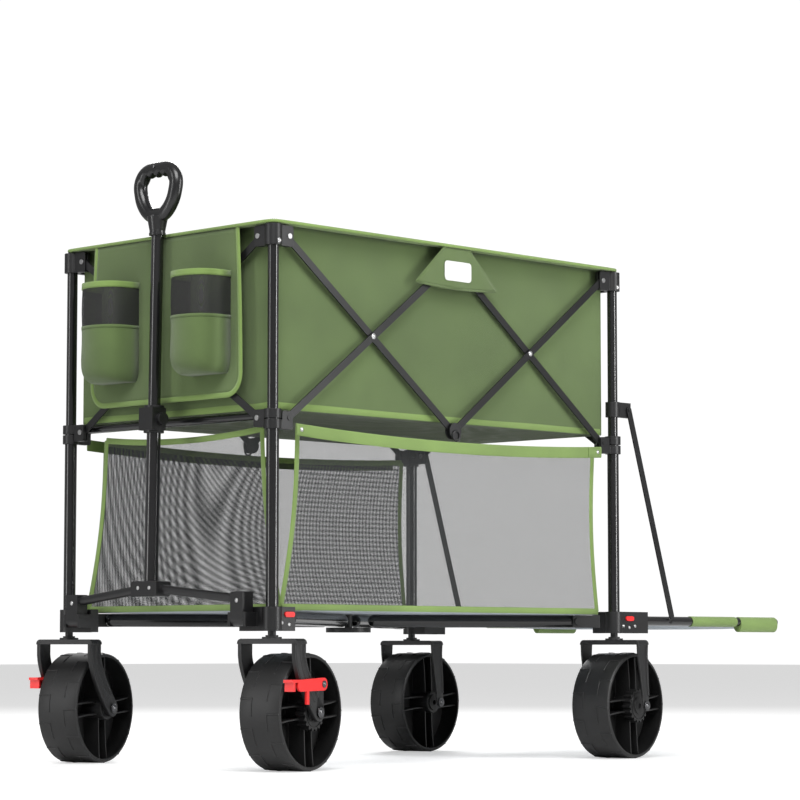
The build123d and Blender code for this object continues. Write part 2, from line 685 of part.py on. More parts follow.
def fork(corner):
    front = corner.startswith("front")
    width = FRONT_FORK_WIDTH if front else REAR_FORK_WIDTH
    depth = FRONT_FORK_DEPTH if front else REAR_FORK_DEPTH
    bridge = FORK_BRIDGE if front else REAR_FORK_LEG
    leg = FRONT_FORK_LEG if front else REAR_FORK_LEG
    body = block(-depth, depth, -width / 2, width / 2, FORK_TOP_Z - bridge, FORK_TOP_Z)
    for y in (-width / 2, width / 2 - leg):
        body += front_leg(y, y + leg) if front else rear_leg(y, y + leg)
    if front:
        body += outer_side(pedal_mount(), corner)
    body += upright(BOSS_R - 1, FORK_TOP_Z, BASE_Z - GAP)
    body += upright(STEM_R, FORK_TOP_Z, BASE_Z + STEM_INSERT - 1)
    body -= cross_pin(AXLE_R + FIT, trail(corner), WHEEL_R, -width, width)
    return [steered(body, corner), steered(axle(corner, width), corner)]


def axle(corner, width):
    x = trail(corner)
    body = cross_pin(AXLE_R, x, WHEEL_R, -width / 2, width / 2)
    for y in (-width / 2 - AXLE_HEAD, width / 2):
        body += cross_pin(AXLE_HEAD_R, x, WHEEL_R, y, y + AXLE_HEAD)
    return body


def brake_ring():
    """The toothed ring on the wheel's outer face, built at -Y."""
    face = -WHEEL_WIDTH / 2
    ring = cross_pin(BRAKE_RING_R, 0, 0, face - BRAKE_RING, face + 1)
    notch = block(
        BRAKE_RING_R - TOOTH_DEPTH, BRAKE_RING_R + 1, face - BRAKE_RING - 1, face + 2,
        -TOOTH_GAP / 2, TOOTH_GAP / 2,
    )
    for turn in range(BRAKE_TEETH):
        ring -= notch.rotate(Axis.Y, 360 / BRAKE_TEETH * turn)
    return ring + cross_pin(BRAKE_RING_R - TOOTH_DEPTH - 2, 0, 0, face - BRAKE_RING, 0)


def wheel(corner):
    """A hollow moulded wheel: rim, middle web, ribs, hub and the toothed brake ring."""
    half = WHEEL_WIDTH / 2
    hub = WHEEL_HUB_WIDTH / 2
    body = cross_pin(WHEEL_R, 0, 0, -half, half) - cross_pin(WHEEL_R - RIM, 0, 0, -half, half)
    body += cross_pin(WHEEL_R - RIM / 2, 0, 0, -WEB / 2, WEB / 2)
    body += cross_pin(WHEEL_HUB_R, 0, 0, -hub, hub)
    rib = block(0, WHEEL_R - RIM / 2, RIB_INSET - half, half - RIB_INSET, -RIB_HALF, RIB_HALF)
    for turn in range(SPOKES):
        body += rib.rotate(Axis.Y, 360 / SPOKES * turn)
    body += outer_side(brake_ring(), corner)
    body -= cross_pin(AXLE_R + FIT, 0, 0, -2 * hub, 2 * hub)
    return steered(Pos(trail(corner), 0, WHEEL_R) * body, corner)


def brake_pedal(corner):
    """The red pedal on the outer side of a front caster; its tooth meets the brake ring."""
    y1 = -FRONT_FORK_WIDTH / 2 - GAP
    y0 = y1 - PEDAL_PLATE
    px, pz = PEDAL_PIVOT_X, PEDAL_PIVOT_Z
    tip = px - PEDAL_REACH
    plate_end = (tip + PEDAL_TREAD - 4, pz - 2)
    body = long_plate((px, pz), plate_end, PEDAL_PLATE_R, PEDAL_PLATE_R - 1, y0, y1)
    reach_in = -WHEEL_WIDTH / 2 - PEDAL_SIDE_GAP
    tread_z = pz + 3
    body += block(tip, tip + PEDAL_TREAD, y0, reach_in, tread_z, tread_z + PEDAL_TREAD_THICKNESS)
    body += block(tip + 4, tip + 8, y0, reach_in, pz - PEDAL_SKIRT, tread_z)
    tooth_end = PEDAL_TOOTH_X + PEDAL_TOOTH
    body += block(PEDAL_TOOTH_X, tooth_end, y0, y1, pz - PEDAL_TOOTH_DROP, pz - PEDAL_TOOTH)
    body -= cross_pin(PEDAL_PIN_R + FIT, px, pz, y0 - 1, y1 + 1)
    return steered(outer_side(body, corner), corner)


# Handle --------------------------------------------------------------------------------
def leaned(shape):
    """The pull handle leans a little towards the basket from the yoke upwards."""
    return shape.rotate(Axis((HANDLE_X, 0, YOKE_Z), (0, 1, 0)), HANDLE_LEAN)


def handle_yoke():
    """Two hinge blocks, two sloping arms and the centre bracket, welded into one yoke."""
    body = None
    pivot_x = -HALF_X - HANDLE_PIVOT_X
    for side in (-1, 1):
        y0, y1 = sorted((side * (HALF_Y - BLOCK_Y0 - SEAT), side * (HALF_Y - BLOCK_Y1)))
        hinge = block(pivot_x - BLOCK_R, pivot_x + BLOCK_R, y0, y1, HANDLE_PIVOT_Z, BLOCK_TOP_Z)
        hinge += cross_pin(BLOCK_R, pivot_x, HANDLE_PIVOT_Z, y0, y1)
        hinge -= cross_pin(HANDLE_PIN_R, pivot_x, HANDLE_PIVOT_Z, y0 - 1, y1 + 1)
        arm_y = side * (HALF_Y - (BLOCK_Y0 + BLOCK_Y1) / 2)
        outer = (pivot_x, arm_y, BLOCK_TOP_Z - ARM_DROP)
        inner = (HANDLE_X, side * YOKE_HALF_WIDTH / 2, YOKE_Z + ARM_RISE)
        part = hinge + rod(outer, inner, ARM_R)
        body = part if body is None else body + part
    centre = block(
        HANDLE_X - YOKE_DEPTH / 2, HANDLE_X + YOKE_DEPTH / 2, -YOKE_HALF_WIDTH, YOKE_HALF_WIDTH,
        YOKE_Z, YOKE_Z + YOKE_HEIGHT,
    )
    body += fillet(centre.edges().filter_by(Axis.X), YOKE_FLOOR)
    return body - leaned(upright(HANDLE_LOWER_R + FIT, HANDLE_LOWER_Z, COLLAR_Z, HANDLE_X))


def handle_lower_tube():
    body = upright(HANDLE_LOWER_R, HANDLE_LOWER_Z + SEAT, HANDLE_LOWER_TOP_Z, HANDLE_X)
    body -= upright(HANDLE_UPPER_R + FIT, YOKE_Z, HANDLE_LOWER_TOP_Z + 1, HANDLE_X)
    return leaned(body)


def handle_collar():
    """The clamp that holds the upper tube, with its round knob."""
    top = COLLAR_Z + COLLAR_HEIGHT
    body = upright(COLLAR_R, COLLAR_Z, top, HANDLE_X)
    low, high = COLLAR_Z + COLLAR_BLOCK_INSET, top - COLLAR_BLOCK_INSET
    back, front = HANDLE_X - COLLAR_R - 2, HANDLE_X + COLLAR_R - 6
    body += block(back, front, -COLLAR_R, COLLAR_R, low, high)
    knob_z = COLLAR_Z + COLLAR_HEIGHT / 2
    body += Pos(HANDLE_X, 0, 0) * cross_pin(KNOB_R, 0, knob_z, -COLLAR_R - KNOB_LENGTH, -COLLAR_R)
    body -= upright(HANDLE_LOWER_R + FIT, COLLAR_Z - 1, HANDLE_LOWER_TOP_Z, HANDLE_X)
    body -= upright(HANDLE_UPPER_R + FIT, COLLAR_Z - 1, top + 1, HANDLE_X)
    return leaned(body)


def handle_upper_tube():
    body = upright(HANDLE_UPPER_R, HANDLE_UPPER_Z, NECK_Z, HANDLE_X)
    inner = HANDLE_UPPER_R - HANDLE_UPPER_WALL
    body -= upright(inner, HANDLE_UPPER_Z - 1, NECK_Z + 1, HANDLE_X)
    return leaned(body)


def handle_grip():
    """The oval loop grip on its neck."""
    centre_z = GRIP_TOP_Z - GRIP_HEIGHT / 2
    facing = Plane(origin=(HANDLE_X, 0, centre_z), x_dir=(0, 1, 0), z_dir=(1, 0, 0))
    width, height = GRIP_WIDTH - 2 * GRIP_R, GRIP_HEIGHT - 2 * GRIP_R
    path = (facing * RectangleRounded(width, height, GRIP_CORNER_R)).face().outer_wire()
    section = Plane(origin=path @ 0, z_dir=path % 0) * Circle(GRIP_R)
    ring = sweep(section, path)
    neck = upright(NECK_R, NECK_Z + SEAT, NECK_Z + NECK_HEIGHT + GRIP_R / 2, HANDLE_X)
    return leaned(ring + neck)


# Tailgate ------------------------------------------------------------------------------
def tailgate_frame():
    """A U-shaped tube hinged in the two rear housings, lying level behind the deck."""
    end_x = TAIL_PIVOT_X + TAIL_LENGTH
    start_x = TAIL_PIVOT_X
    corners = [(start_x, -HALF_Y), (end_x, -HALF_Y), (end_x, HALF_Y), (start_x, HALF_Y)]
    path = FilletPolyline(*[(x, y, TAIL_Z) for x, y in corners], radius=TAIL_CORNER_R)
    section = Plane(origin=path @ 0, z_dir=path % 0) * Circle(TAIL_TUBE_R)
    body = sweep(section, path)
    for side in (-1, 1):
        body += Pos(start_x, side * HALF_Y, TAIL_Z) * Sphere(TAIL_TUBE_R)
        outer = side * (HALF_Y + TAIL_TUBE_R + STRUT_GAP - GAP)
        foot_x = HALF_X + STRUT_FOOT
        body += rod((foot_x, side * HALF_Y, TAIL_Z), (foot_x, outer, TAIL_Z), STRUT_PIN_R)
        y0 = side * HALF_Y - 2 * TAIL_TUBE_R
        body -= cross_pin(TAIL_PIN_R, TAIL_PIVOT_X, TAIL_Z, y0, y0 + 4 * TAIL_TUBE_R)
    return body


def strut_collars():
    """A sliding collar with a hinge lug on each rear upper tube."""
    pieces = []
    z0 = STRUT_HEAD_Z - STRUT_COLLAR_HEIGHT / 2
    inner = TAIL_TUBE_R + STRUT_GAP
    for corner in end_corners("rear"):
        body = upright(STRUT_COLLAR_R, z0, z0 + STRUT_COLLAR_HEIGHT)
        lug_end = -STRUT_HEAD_X - STRUT_LUG
        body += block(lug_end, 0, -inner + GAP, 0, z0, z0 + STRUT_COLLAR_HEIGHT)
        pin_end = -inner - BAR_THICKNESS - STRUT_PIN_PROUD
        body += cross_pin(PIN_R, -STRUT_HEAD_X, STRUT_HEAD_Z, pin_end, -inner + GAP + 2)
        body -= upright(UPPER_POST_R + FIT, z0 - 1, z0 + STRUT_COLLAR_HEIGHT + 1)
        pieces.append(at_corner(body, corner))
    return pieces


def struts():
    """The two flat stays that hold the tailgate level."""
    pieces = []
    inner = TAIL_TUBE_R + STRUT_GAP
    for corner in end_corners("rear"):
        head, foot = (-STRUT_HEAD_X, STRUT_HEAD_Z), (-STRUT_FOOT, STRUT_FOOT_Z)
        outer = -inner - BAR_THICKNESS
        body = long_plate(head, foot, STRUT_HALF_WIDTH, STRUT_HALF_WIDTH, outer, -inner)
        body -= cross_pin(PIN_R + FIT, head[0], head[1], outer - 1, -inner + 1)
        pieces.append(at_corner(body, corner))
    return pieces


def tailgate_panel():
    """The padded cloth between the tailgate tubes, and the loop that pulls it up."""
    inner_y = HALF_Y - TAIL_TUBE_R - GAP
    end_x = TAIL_PIVOT_X + TAIL_LENGTH - TAIL_TUBE_R - GAP
    top = TAIL_Z + TAIL_TUBE_R
    start_x = TAIL_PIVOT_X + TAIL_PANEL_START
    panel = block(start_x, end_x, -inner_y, inner_y, top - TAIL_PANEL, top)
    corner_edges = panel.edges().filter_by(Axis.Z).group_by(Axis.X)[-1]
    panel = fillet(corner_edges, TAIL_CORNER_R - TAIL_TUBE_R)
    loop_x = TAIL_PIVOT_X + TAIL_LENGTH + TAIL_TUBE_R + GAP
    half, height = PULL_LOOP_HALF_WIDTH, PULL_LOOP_HALF_HEIGHT
    loop = block(loop_x, loop_x + PULL_LOOP, -half, half, TAIL_Z - height, TAIL_Z + height)
    height -= PULL_LOOP_THICKNESS
    x0, x1 = loop_x + PULL_LOOP_THICKNESS, loop_x + PULL_LOOP - PULL_LOOP_THICKNESS
    loop -= block(x0, x1, -half - 1, half + 1, TAIL_Z - height, TAIL_Z + height)
    return [panel, loop]


# Soft goods ----------------------------------------------------------------------------
def upper_basket():
    """The fabric basket: four walls, a floor and the hem that lies over the brackets."""
    x, y = HALF_X - BASKET_INSET, HALF_Y - BASKET_INSET
    body = block(-x, x, -y, y, BASKET_BOTTOM_Z, HEM_Z)
    out_x, out_y = HALF_X + HEM_OVERHANG, HALF_Y + HEM_OVERHANG
    body += block(-out_x, out_x, -out_y, out_y, HEM_Z - HEM_HEIGHT, HEM_Z)
    x, y = x - BASKET_WALL, y - BASKET_WALL
    return body - block(-x, x, -y, y, BASKET_BOTTOM_Z + BASKET_WALL, HEM_Z + 1)


def pocket_panel():
    """The panel on the handle end with its two bottle pockets."""
    face = -HALF_X - PANEL_GAP
    top = HEM_Z - HEM_HEIGHT - SEAT
    half = PANEL_HALF_WIDTH
    panel = block(face - PANEL_THICKNESS, face, -half, half, PANEL_BOTTOM_Z, top)
    panel = fillet(panel.edges().filter_by(Axis.X).group_by(Axis.Z)[0], PANEL_CORNER_R)
    front = face - PANEL_THICKNESS / 2
    for side in (-1, 1):
        shell = pocket_solid(front, side, 0, POCKET_BOTTOM_Z)
        hollow = pocket_solid(front, side, POCKET_WALL, POCKET_BOTTOM_Z + POCKET_WALL)
        outside = block(front - 2 * POCKET_DEPTH, face - PANEL_THICKNESS, -2 * half, 2 * half, 0, 2 * HEM_Z)
        panel += shell - (hollow & outside)
    return panel


def pocket_solid(front, side, wall, z0):
    """Half an ellipse in plan, bulging towards -X."""
    half = Ellipse(POCKET_DEPTH - wall, POCKET_HALF_WIDTH - wall)
    half &= Pos(-POCKET_DEPTH, 0) * Rectangle(2 * POCKET_DEPTH, 4 * POCKET_HALF_WIDTH)
    top = POCKET_TOP_Z + (1 if wall else 0)
    return extrude(Pos(front, side * POCKET_CENTRE, z0) * half, top - z0)


def lower_mesh():
    """Mesh walls on the two long sides and on the handle end of the lower deck."""
    x0, x1 = -HALF_X + MESH_INSET_X, HALF_X - MESH_INSET_X
    y = HALF_Y - MESH_INSET_Y
    body = block(x0, x1, -y, y, MAT_BOTTOM_Z, MESH_TOP_Z)
    inner = y - MESH_WALL
    return body - block(x0 + MESH_WALL, x1 + 1, -inner, inner, MAT_BOTTOM_Z - 1, MESH_TOP_Z + 1)


def deck_mat():
    """The padded floor of the lower deck, between the mesh walls, on the floor rails and the hub."""
    x0 = -HALF_X + MESH_INSET_X + MESH_WALL + SEAT
    y = HALF_Y - MESH_INSET_Y - MESH_WALL - SEAT
    body = block(x0, HALF_X - MAT_INSET_X, -y, y, MAT_BOTTOM_Z, MAT_TOP_Z)
    return fillet(body.edges().filter_by(Axis.Z), MAT_CORNER_R)


def front_rail():
    """The tube across the handle end, under the basket floor."""
    x = -HALF_X + FRONT_RAIL_INSET
    y = HALF_Y - BOSS_R - FRONT_RAIL_LUG - SEAT
    return rod((x, -y, FRONT_RAIL_Z), (x, y, FRONT_RAIL_Z), FRONT_RAIL_R)


def side_straps():
    """A webbing strap along each long side at mid height, slack between the posts."""
    end = HALF_X - EAR_LENGTH - STRAP_END
    start = -end
    outer = -HALF_Y - EAR_THICKNESS / 2 - RIVET_HEAD
    line = ThreePointArc((start, STRAP_Z), (0, STRAP_Z - STRAP_SAG), (end, STRAP_Z))
    low = Pos(0, -STRAP_WIDTH) * line
    outline = make_face([line, low, Line(line @ 0, low @ 0), Line(line @ 1, low @ 1)])
    facing = Plane(origin=(0, outer, 0), x_dir=(1, 0, 0), z_dir=(0, -1, 0))
    return both_sides(extrude(facing * outline, STRAP_THICKNESS))


# The list of nodes -----------------------------------------------------------------------
def build():
    nodes = {}
    for corner in CORNERS:
        nodes[f"post_{corner}"] = post(corner)
    for end in ("front", "rear"):
        corners = end_corners(end)
        nodes[f"top_brackets_{end}"] = [top_bracket(corner) for corner in corners]
        nodes[f"mid_brackets_{end}"] = [mid_bracket(corner) for corner in corners]
        nodes[f"base_brackets_{end}"] = base_brackets(end)
        nodes[f"rivets_{end}"] = frame_rivets(end)
        nodes[f"end_bars_{end}"] = end_bars(end)
        nodes[f"side_sliders_{end}"] = sliders(end)
        for level in ("low", "top"):
            nodes[f"{level}_bars_{end}"] = side_bars(end, level)
    nodes["front_rail"] = [front_rail()]
    nodes["top_hubs"] = side_hubs(TOP_PIVOT_Z, False)
    nodes["bottom_hubs"] = side_hubs(LOW_PIVOT_Z, True)
    for corner in CORNERS:
        nodes[f"floor_rail_{corner}"] = [floor_rail(corner)]
        nodes[f"release_button_{corner}"] = [release_button(corner)]
        nodes[f"caster_fork_{corner}"] = fork(corner)
        nodes[f"wheel_{corner}"] = [wheel(corner)]
    nodes["floor_hub"] = [floor_hub()]
    for corner in end_corners("front"):
        nodes[f"brake_pedal_{corner}"] = [brake_pedal(corner)]
    nodes["handle_yoke"] = [handle_yoke()]
    nodes["handle_lower_tube"] = [handle_lower_tube()]
    nodes["handle_collar"] = [handle_collar()]
    nodes["handle_upper_tube"] = [handle_upper_tube()]
    nodes["handle_grip"] = [handle_grip()]
    nodes["tailgate_frame"] = [tailgate_frame()]
    nodes["tailgate_panel"] = tailgate_panel()
    nodes["tailgate_struts"] = struts()
    nodes["strut_collars"] = strut_collars()
    nodes["upper_basket"] = [upper_basket()]
    nodes["pocket_panel"] = [pocket_panel()]
    nodes["side_straps"] = side_straps()
    nodes["lower_mesh"] = [lower_mesh()]
    nodes["deck_mat"] = [deck_mat()]
    return nodes


def solids_of(pieces):
    return [solid for piece in pieces for solid in piece.solids()]


def floor_centre(nodes):
    """The middle of the whole cart's box, on the floor: the origin that the nodes are moved to."""
    everything = [Compound(solids_of(pieces)) for pieces in nodes.values()]
    box = Compound(children=everything).bounding_box()
    return Vector((box.min.X + box.max.X) / 2, (box.min.Y + box.max.Y) / 2, box.min.Z)


def main():
    os.makedirs("parts", exist_ok=True)
    nodes = build()
    origin = floor_centre(nodes)
    for name, pieces in nodes.items():
        moved = [Pos(-origin.X, -origin.Y, -origin.Z) * solid for solid in solids_of(pieces)]
        export_step(Compound(moved) if len(moved) > 1 else moved[0], f"parts/{name}.step")
    print("nodes", len(nodes), "origin", origin)


if __name__ == "__main__":
    main()
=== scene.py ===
# %% [markdown]
# # A double-decker folding beach cart
# The hard parts of the cart come from the CAD model and keep their shapes. This lesson gives them their
# finishes, and models what is soft or finely moulded: the basket cloth, the pockets, the mesh, the mat,
# the wheels, the forks and the grip. Each step says what the real piece is before it is made.

import json
from math import cos, exp, pi, radians, sin

import bmesh
import bpy
from mathutils import Matrix, Vector, noise


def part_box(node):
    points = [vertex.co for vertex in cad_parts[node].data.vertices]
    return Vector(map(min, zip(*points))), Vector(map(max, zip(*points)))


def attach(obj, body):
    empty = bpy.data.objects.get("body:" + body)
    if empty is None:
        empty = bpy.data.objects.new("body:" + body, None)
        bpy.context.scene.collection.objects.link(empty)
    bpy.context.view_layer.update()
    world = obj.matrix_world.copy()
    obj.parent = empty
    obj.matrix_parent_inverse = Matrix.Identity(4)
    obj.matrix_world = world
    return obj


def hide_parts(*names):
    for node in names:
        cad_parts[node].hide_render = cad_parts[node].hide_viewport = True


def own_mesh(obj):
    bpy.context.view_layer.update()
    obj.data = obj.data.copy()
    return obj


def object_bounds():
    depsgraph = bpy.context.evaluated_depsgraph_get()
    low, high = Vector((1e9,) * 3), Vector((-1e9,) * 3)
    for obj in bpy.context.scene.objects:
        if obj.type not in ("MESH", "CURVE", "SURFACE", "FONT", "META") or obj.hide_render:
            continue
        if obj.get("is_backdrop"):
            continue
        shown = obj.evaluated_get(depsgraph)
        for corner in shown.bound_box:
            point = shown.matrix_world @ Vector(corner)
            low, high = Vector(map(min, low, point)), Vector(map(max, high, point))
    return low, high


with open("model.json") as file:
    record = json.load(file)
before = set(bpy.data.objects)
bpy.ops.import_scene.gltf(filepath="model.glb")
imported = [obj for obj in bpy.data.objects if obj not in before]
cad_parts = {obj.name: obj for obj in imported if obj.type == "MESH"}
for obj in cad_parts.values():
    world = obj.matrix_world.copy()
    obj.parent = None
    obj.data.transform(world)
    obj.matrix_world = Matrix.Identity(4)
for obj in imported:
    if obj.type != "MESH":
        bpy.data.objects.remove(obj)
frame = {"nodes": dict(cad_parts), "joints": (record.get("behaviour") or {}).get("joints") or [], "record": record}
cad_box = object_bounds()
nodes = frame["nodes"]
joints = {joint["name"]: joint for joint in frame["joints"]}
MM = 0.001
print("CAD nodes", len(nodes), "box", [round(v, 3) for v in (*cad_box[0], *cad_box[1])])

# %% [markdown]
# Most places in this file are worked out from the posts, because the real cart is also built up from its
# four posts: brackets, cloth and casters all hang on them. The middle of a post is the middle of its box.

# %% The four posts give the places
def middle(node):
    low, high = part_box(node)
    return (low + high) / 2


FRONT_X, LEFT_Y = middle("post_front_left").x, middle("post_front_left").y
REAR_X, RIGHT_Y = middle("post_rear_right").x, middle("post_rear_right").y
MID_X, MID_Y = (FRONT_X + REAR_X) / 2, (LEFT_Y + RIGHT_Y) / 2
SIDES = {"left": (LEFT_Y, -1), "right": (RIGHT_Y, 1)}

# %% [markdown]
# ## Finishes
# A real surface is never one flat colour. Paint has a fine orange-peel skin, moulded plastic has a grain,
# and both catch the light along their edges. Those effects are shared, so each one is a node group with
# named inputs. The groups only give masks, heights and normals: the shader stays in each material.

# %% A helper for shader groups
def new_group(name, inputs, outputs):
    """A shader group with its sockets; returns it with its input and output nodes."""
    group = bpy.data.node_groups.new(name, "ShaderNodeTree")
    for label, kind, value in inputs:
        socket = group.interface.new_socket(label, in_out="INPUT", socket_type=kind)
        if value is not None:
            socket.default_value = value
    for label, kind in outputs:
        group.interface.new_socket(label, in_out="OUTPUT", socket_type=kind)
    return group, group.nodes.new("NodeGroupInput"), group.nodes.new("NodeGroupOutput")


def maths(tree, operation, first, second=None):
    """One Math node; each operand is a number or a socket."""
    node = tree.nodes.new("ShaderNodeMath")
    node.operation = operation
    for socket, value in zip(node.inputs, (first, second)):
        if isinstance(value, (int, float)):
            socket.default_value = value
        elif value is not None:
            tree.links.new(value, socket)
    return node.outputs[0]


# %% [markdown]
# **Rounded edges.** The CAD parts have sharp corners, while real castings have a radius of half a
# millimetre or so. A Bevel node turns the normals near an edge as if it were rounded, and the difference
# between the two normals is a mask of the edges, where handling polishes the finish and dulls the black.

# %% The rounded edge group
edge_group, given, result = new_group(
    "rounded_edges",
    [("Radius", "NodeSocketFloat", 0.8 * MM), ("Wear", "NodeSocketFloat", 1.0)],
    [("Normal", "NodeSocketVector"), ("Mask", "NodeSocketFloat")],
)
bevel = edge_group.nodes.new("ShaderNodeBevel")
bevel.samples = 4
geometry = edge_group.nodes.new("ShaderNodeNewGeometry")
dot = edge_group.nodes.new("ShaderNodeVectorMath")
dot.operation = "DOT_PRODUCT"
edge_group.links.new(given.outputs["Radius"], bevel.inputs["Radius"])
edge_group.links.new(bevel.outputs["Normal"], dot.inputs[0])
edge_group.links.new(geometry.outputs["Normal"], dot.inputs[1])
turned = maths(edge_group, "SUBTRACT", 1.0, dot.outputs["Value"])
patchy = edge_group.nodes.new("ShaderNodeTexNoise")
patchy.inputs["Scale"].default_value = 60
place = edge_group.nodes.new("ShaderNodeTexCoord")
edge_group.links.new(place.outputs["Object"], patchy.inputs["Vector"])
worn = maths(edge_group, "MULTIPLY", maths(edge_group, "MULTIPLY", turned, patchy.outputs[0]), 6.0)
worn = maths(edge_group, "MULTIPLY", worn, given.outputs["Wear"])
edge_group.links.new(maths(edge_group, "MINIMUM", worn, 1.0), result.inputs["Mask"])
edge_group.links.new(bevel.outputs["Normal"], result.inputs["Normal"])
print("group", edge_group.name, len(edge_group.nodes), "nodes")

# %% [markdown]
# **Grain.** Powder coat and moulded plastic differ mainly in how large and how deep their grain is, so one
# group with two inputs serves both. A second, larger noise varies the shade a little over the part.

# %% The grain group
grain_group, given, result = new_group(
    "surface_grain",
    [("Scale", "NodeSocketFloat", 900.0), ("Blotch", "NodeSocketFloat", 8.0)],
    [("Height", "NodeSocketFloat"), ("Shade", "NodeSocketFloat")],
)
place = grain_group.nodes.new("ShaderNodeTexCoord")
for scale, output, detail in (("Scale", "Height", 2.0), ("Blotch", "Shade", 5.0)):
    cloud = grain_group.nodes.new("ShaderNodeTexNoise")
    cloud.inputs["Detail"].default_value = detail
    grain_group.links.new(place.outputs["Object"], cloud.inputs["Vector"])
    grain_group.links.new(given.outputs[scale], cloud.inputs["Scale"])
    grain_group.links.new(cloud.outputs[0], result.inputs[output])
print("group", grain_group.name, len(grain_group.nodes), "nodes")

# %% [markdown]
# **Weave.** Polyester cloth is a plain weave: threads run up and along, each passing over and under the
# others. Two sine waves multiplied together give the bumps where a thread comes to the front. On an
# upright wall the threads run along X or Y and along Z, so the first wave reads X + Y.

# %% The weave group
weave_group, given, result = new_group(
    "plain_weave",
    [("Threads", "NodeSocketFloat", 900.0), ("Lying", "NodeSocketFloat", 0.0)],
    [("Height", "NodeSocketFloat"), ("Shade", "NodeSocketFloat")],
)
place = weave_group.nodes.new("ShaderNodeTexCoord")
split = weave_group.nodes.new("ShaderNodeSeparateXYZ")
weave_group.links.new(place.outputs["Object"], split.inputs[0])
along = maths(weave_group, "ADD", split.outputs[0], split.outputs[1])
lying = maths(weave_group, "MULTIPLY", split.outputs[1], given.outputs["Lying"])
upward = maths(weave_group, "ADD", split.outputs[2], lying)
waves = []
for direction in (along, upward):
    turns = maths(weave_group, "MULTIPLY", direction, given.outputs["Threads"])
    waves.append(maths(weave_group, "SINE", maths(weave_group, "MULTIPLY", turns, 2 * pi)))
crossing = maths(weave_group, "MULTIPLY", waves[0], waves[1])
weave_group.links.new(crossing, result.inputs["Height"])
cloud = weave_group.nodes.new("ShaderNodeTexNoise")
cloud.inputs["Scale"].default_value = 6
cloud.inputs["Detail"].default_value = 6
weave_group.links.new(place.outputs["Object"], cloud.inputs["Vector"])
mixed = maths(weave_group, "ADD", cloud.outputs[0], maths(weave_group, "MULTIPLY", crossing, 0.12))
weave_group.links.new(mixed, result.inputs["Shade"])
print("group", weave_group.name, len(weave_group.nodes), "nodes")

# %% [markdown]
# A material starts from the Principled shader. Colours that change over the surface are linked from the
# groups; everything that is the same all over is set on the shader's own socket.

# %% Helpers that build a material
def new_material(name, roughness):
    material = bpy.data.materials.new(name)
    material.use_nodes = True
    shader = material.node_tree.nodes["Principled BSDF"]
    shader.inputs["Roughness"].default_value = roughness
    return material, material.node_tree, shader


def use_group(tree, group, **values):
    node = tree.nodes.new("ShaderNodeGroup")
    node.node_tree = group
    for label, value in values.items():
        node.inputs[label].default_value = value
    return node


def colour_between(tree, share, first, second):
    """A colour that goes from first to second with a socket from 0 to 1."""
    ramp = tree.nodes.new("ShaderNodeValToRGB")
    ramp.color_ramp.elements[0].color = (*first, 1)
    ramp.color_ramp.elements[1].color = (*second, 1)
    ramp.color_ramp.elements[0].position = 0.25
    ramp.color_ramp.elements[1].position = 0.75
    tree.links.new(share, ramp.inputs[0])
    return ramp.outputs["Color"]


def bumped(tree, height, strength, distance, normal=None):
    bump = tree.nodes.new("ShaderNodeBump")
    bump.inputs["Strength"].default_value = strength
    bump.inputs["Distance"].default_value = distance
    tree.links.new(height, bump.inputs["Height"])
    if normal:
        tree.links.new(normal, bump.inputs["Normal"])
    return bump.outputs["Normal"]


# %% [markdown]
# **Hard finishes.** The posts have a gloss black powder coat, the flat bars a satin one, the brackets and
# wheels are black moulded plastic, and the buttons and pedals are red. They share one recipe: base
# colour, a slightly different shade in patches, polished edges, and a grain whose size suits the process.

# %% The recipe for a hard finish
def hard_finish(name, colour, roughness, grain, depth, edge=2.2, coat=0.0, metallic=0.0, radius=0.8):
    material, tree, shader = new_material(name, roughness)
    shader.inputs["Metallic"].default_value = metallic
    shader.inputs["Coat Weight"].default_value = coat
    shader.inputs["Coat Roughness"].default_value = 0.08
    edges = use_group(tree, edge_group, Radius=radius * MM, Wear=1.0)
    skin = use_group(tree, grain_group, Scale=grain, Blotch=9.0)
    lighter = tuple(min(1.0, 1.25 * c + 0.002) for c in colour)
    base = colour_between(tree, skin.outputs["Shade"], colour, lighter)
    blend = tree.nodes.new("ShaderNodeMix")
    blend.data_type = "RGBA"
    polished = tuple(min(1.0, edge * c + 0.012) for c in colour)
    blend.inputs["B"].default_value = (*polished, 1)
    tree.links.new(edges.outputs["Mask"], blend.inputs["Factor"])
    tree.links.new(base, blend.inputs["A"])
    tree.links.new(blend.outputs["Result"], shader.inputs["Base Color"])
    rough = maths(tree, "MULTIPLY", skin.outputs["Shade"], 0.16)
    tree.links.new(maths(tree, "ADD", rough, roughness - 0.08), shader.inputs["Roughness"])
    normal = bumped(tree, skin.outputs["Height"], 0.35, depth * MM, edges.outputs["Normal"])
    tree.links.new(normal, shader.inputs["Normal"])
    return material


powder_coat = hard_finish("gloss_powder_coat", (0.004, 0.004, 0.0045), 0.2, 260, 0.06, coat=0.5)
satin_paint = hard_finish("satin_bar_paint", (0.007, 0.007, 0.0075), 0.34, 500, 0.05, radius=0.7)
bracket_plastic = hard_finish("bracket_plastic", (0.006, 0.006, 0.0065), 0.4, 1100, 0.08, radius=1.0)
fork_plastic = hard_finish("fork_plastic", (0.007, 0.007, 0.0075), 0.42, 900, 0.08, radius=1.4)
wheel_plastic = hard_finish("wheel_plastic", (0.007, 0.007, 0.0072), 0.46, 700, 0.1, radius=0.8)
grip_plastic = hard_finish("grip_plastic", (0.005, 0.005, 0.0055), 0.3, 1000, 0.05, coat=0.2)
red_plastic = hard_finish("red_plastic", (0.72, 0.02, 0.02), 0.32, 900, 0.05, edge=1.15)
rivet_steel = hard_finish("rivet_steel", (0.5, 0.5, 0.5), 0.3, 600, 0.04, edge=1.4, metallic=1.0)
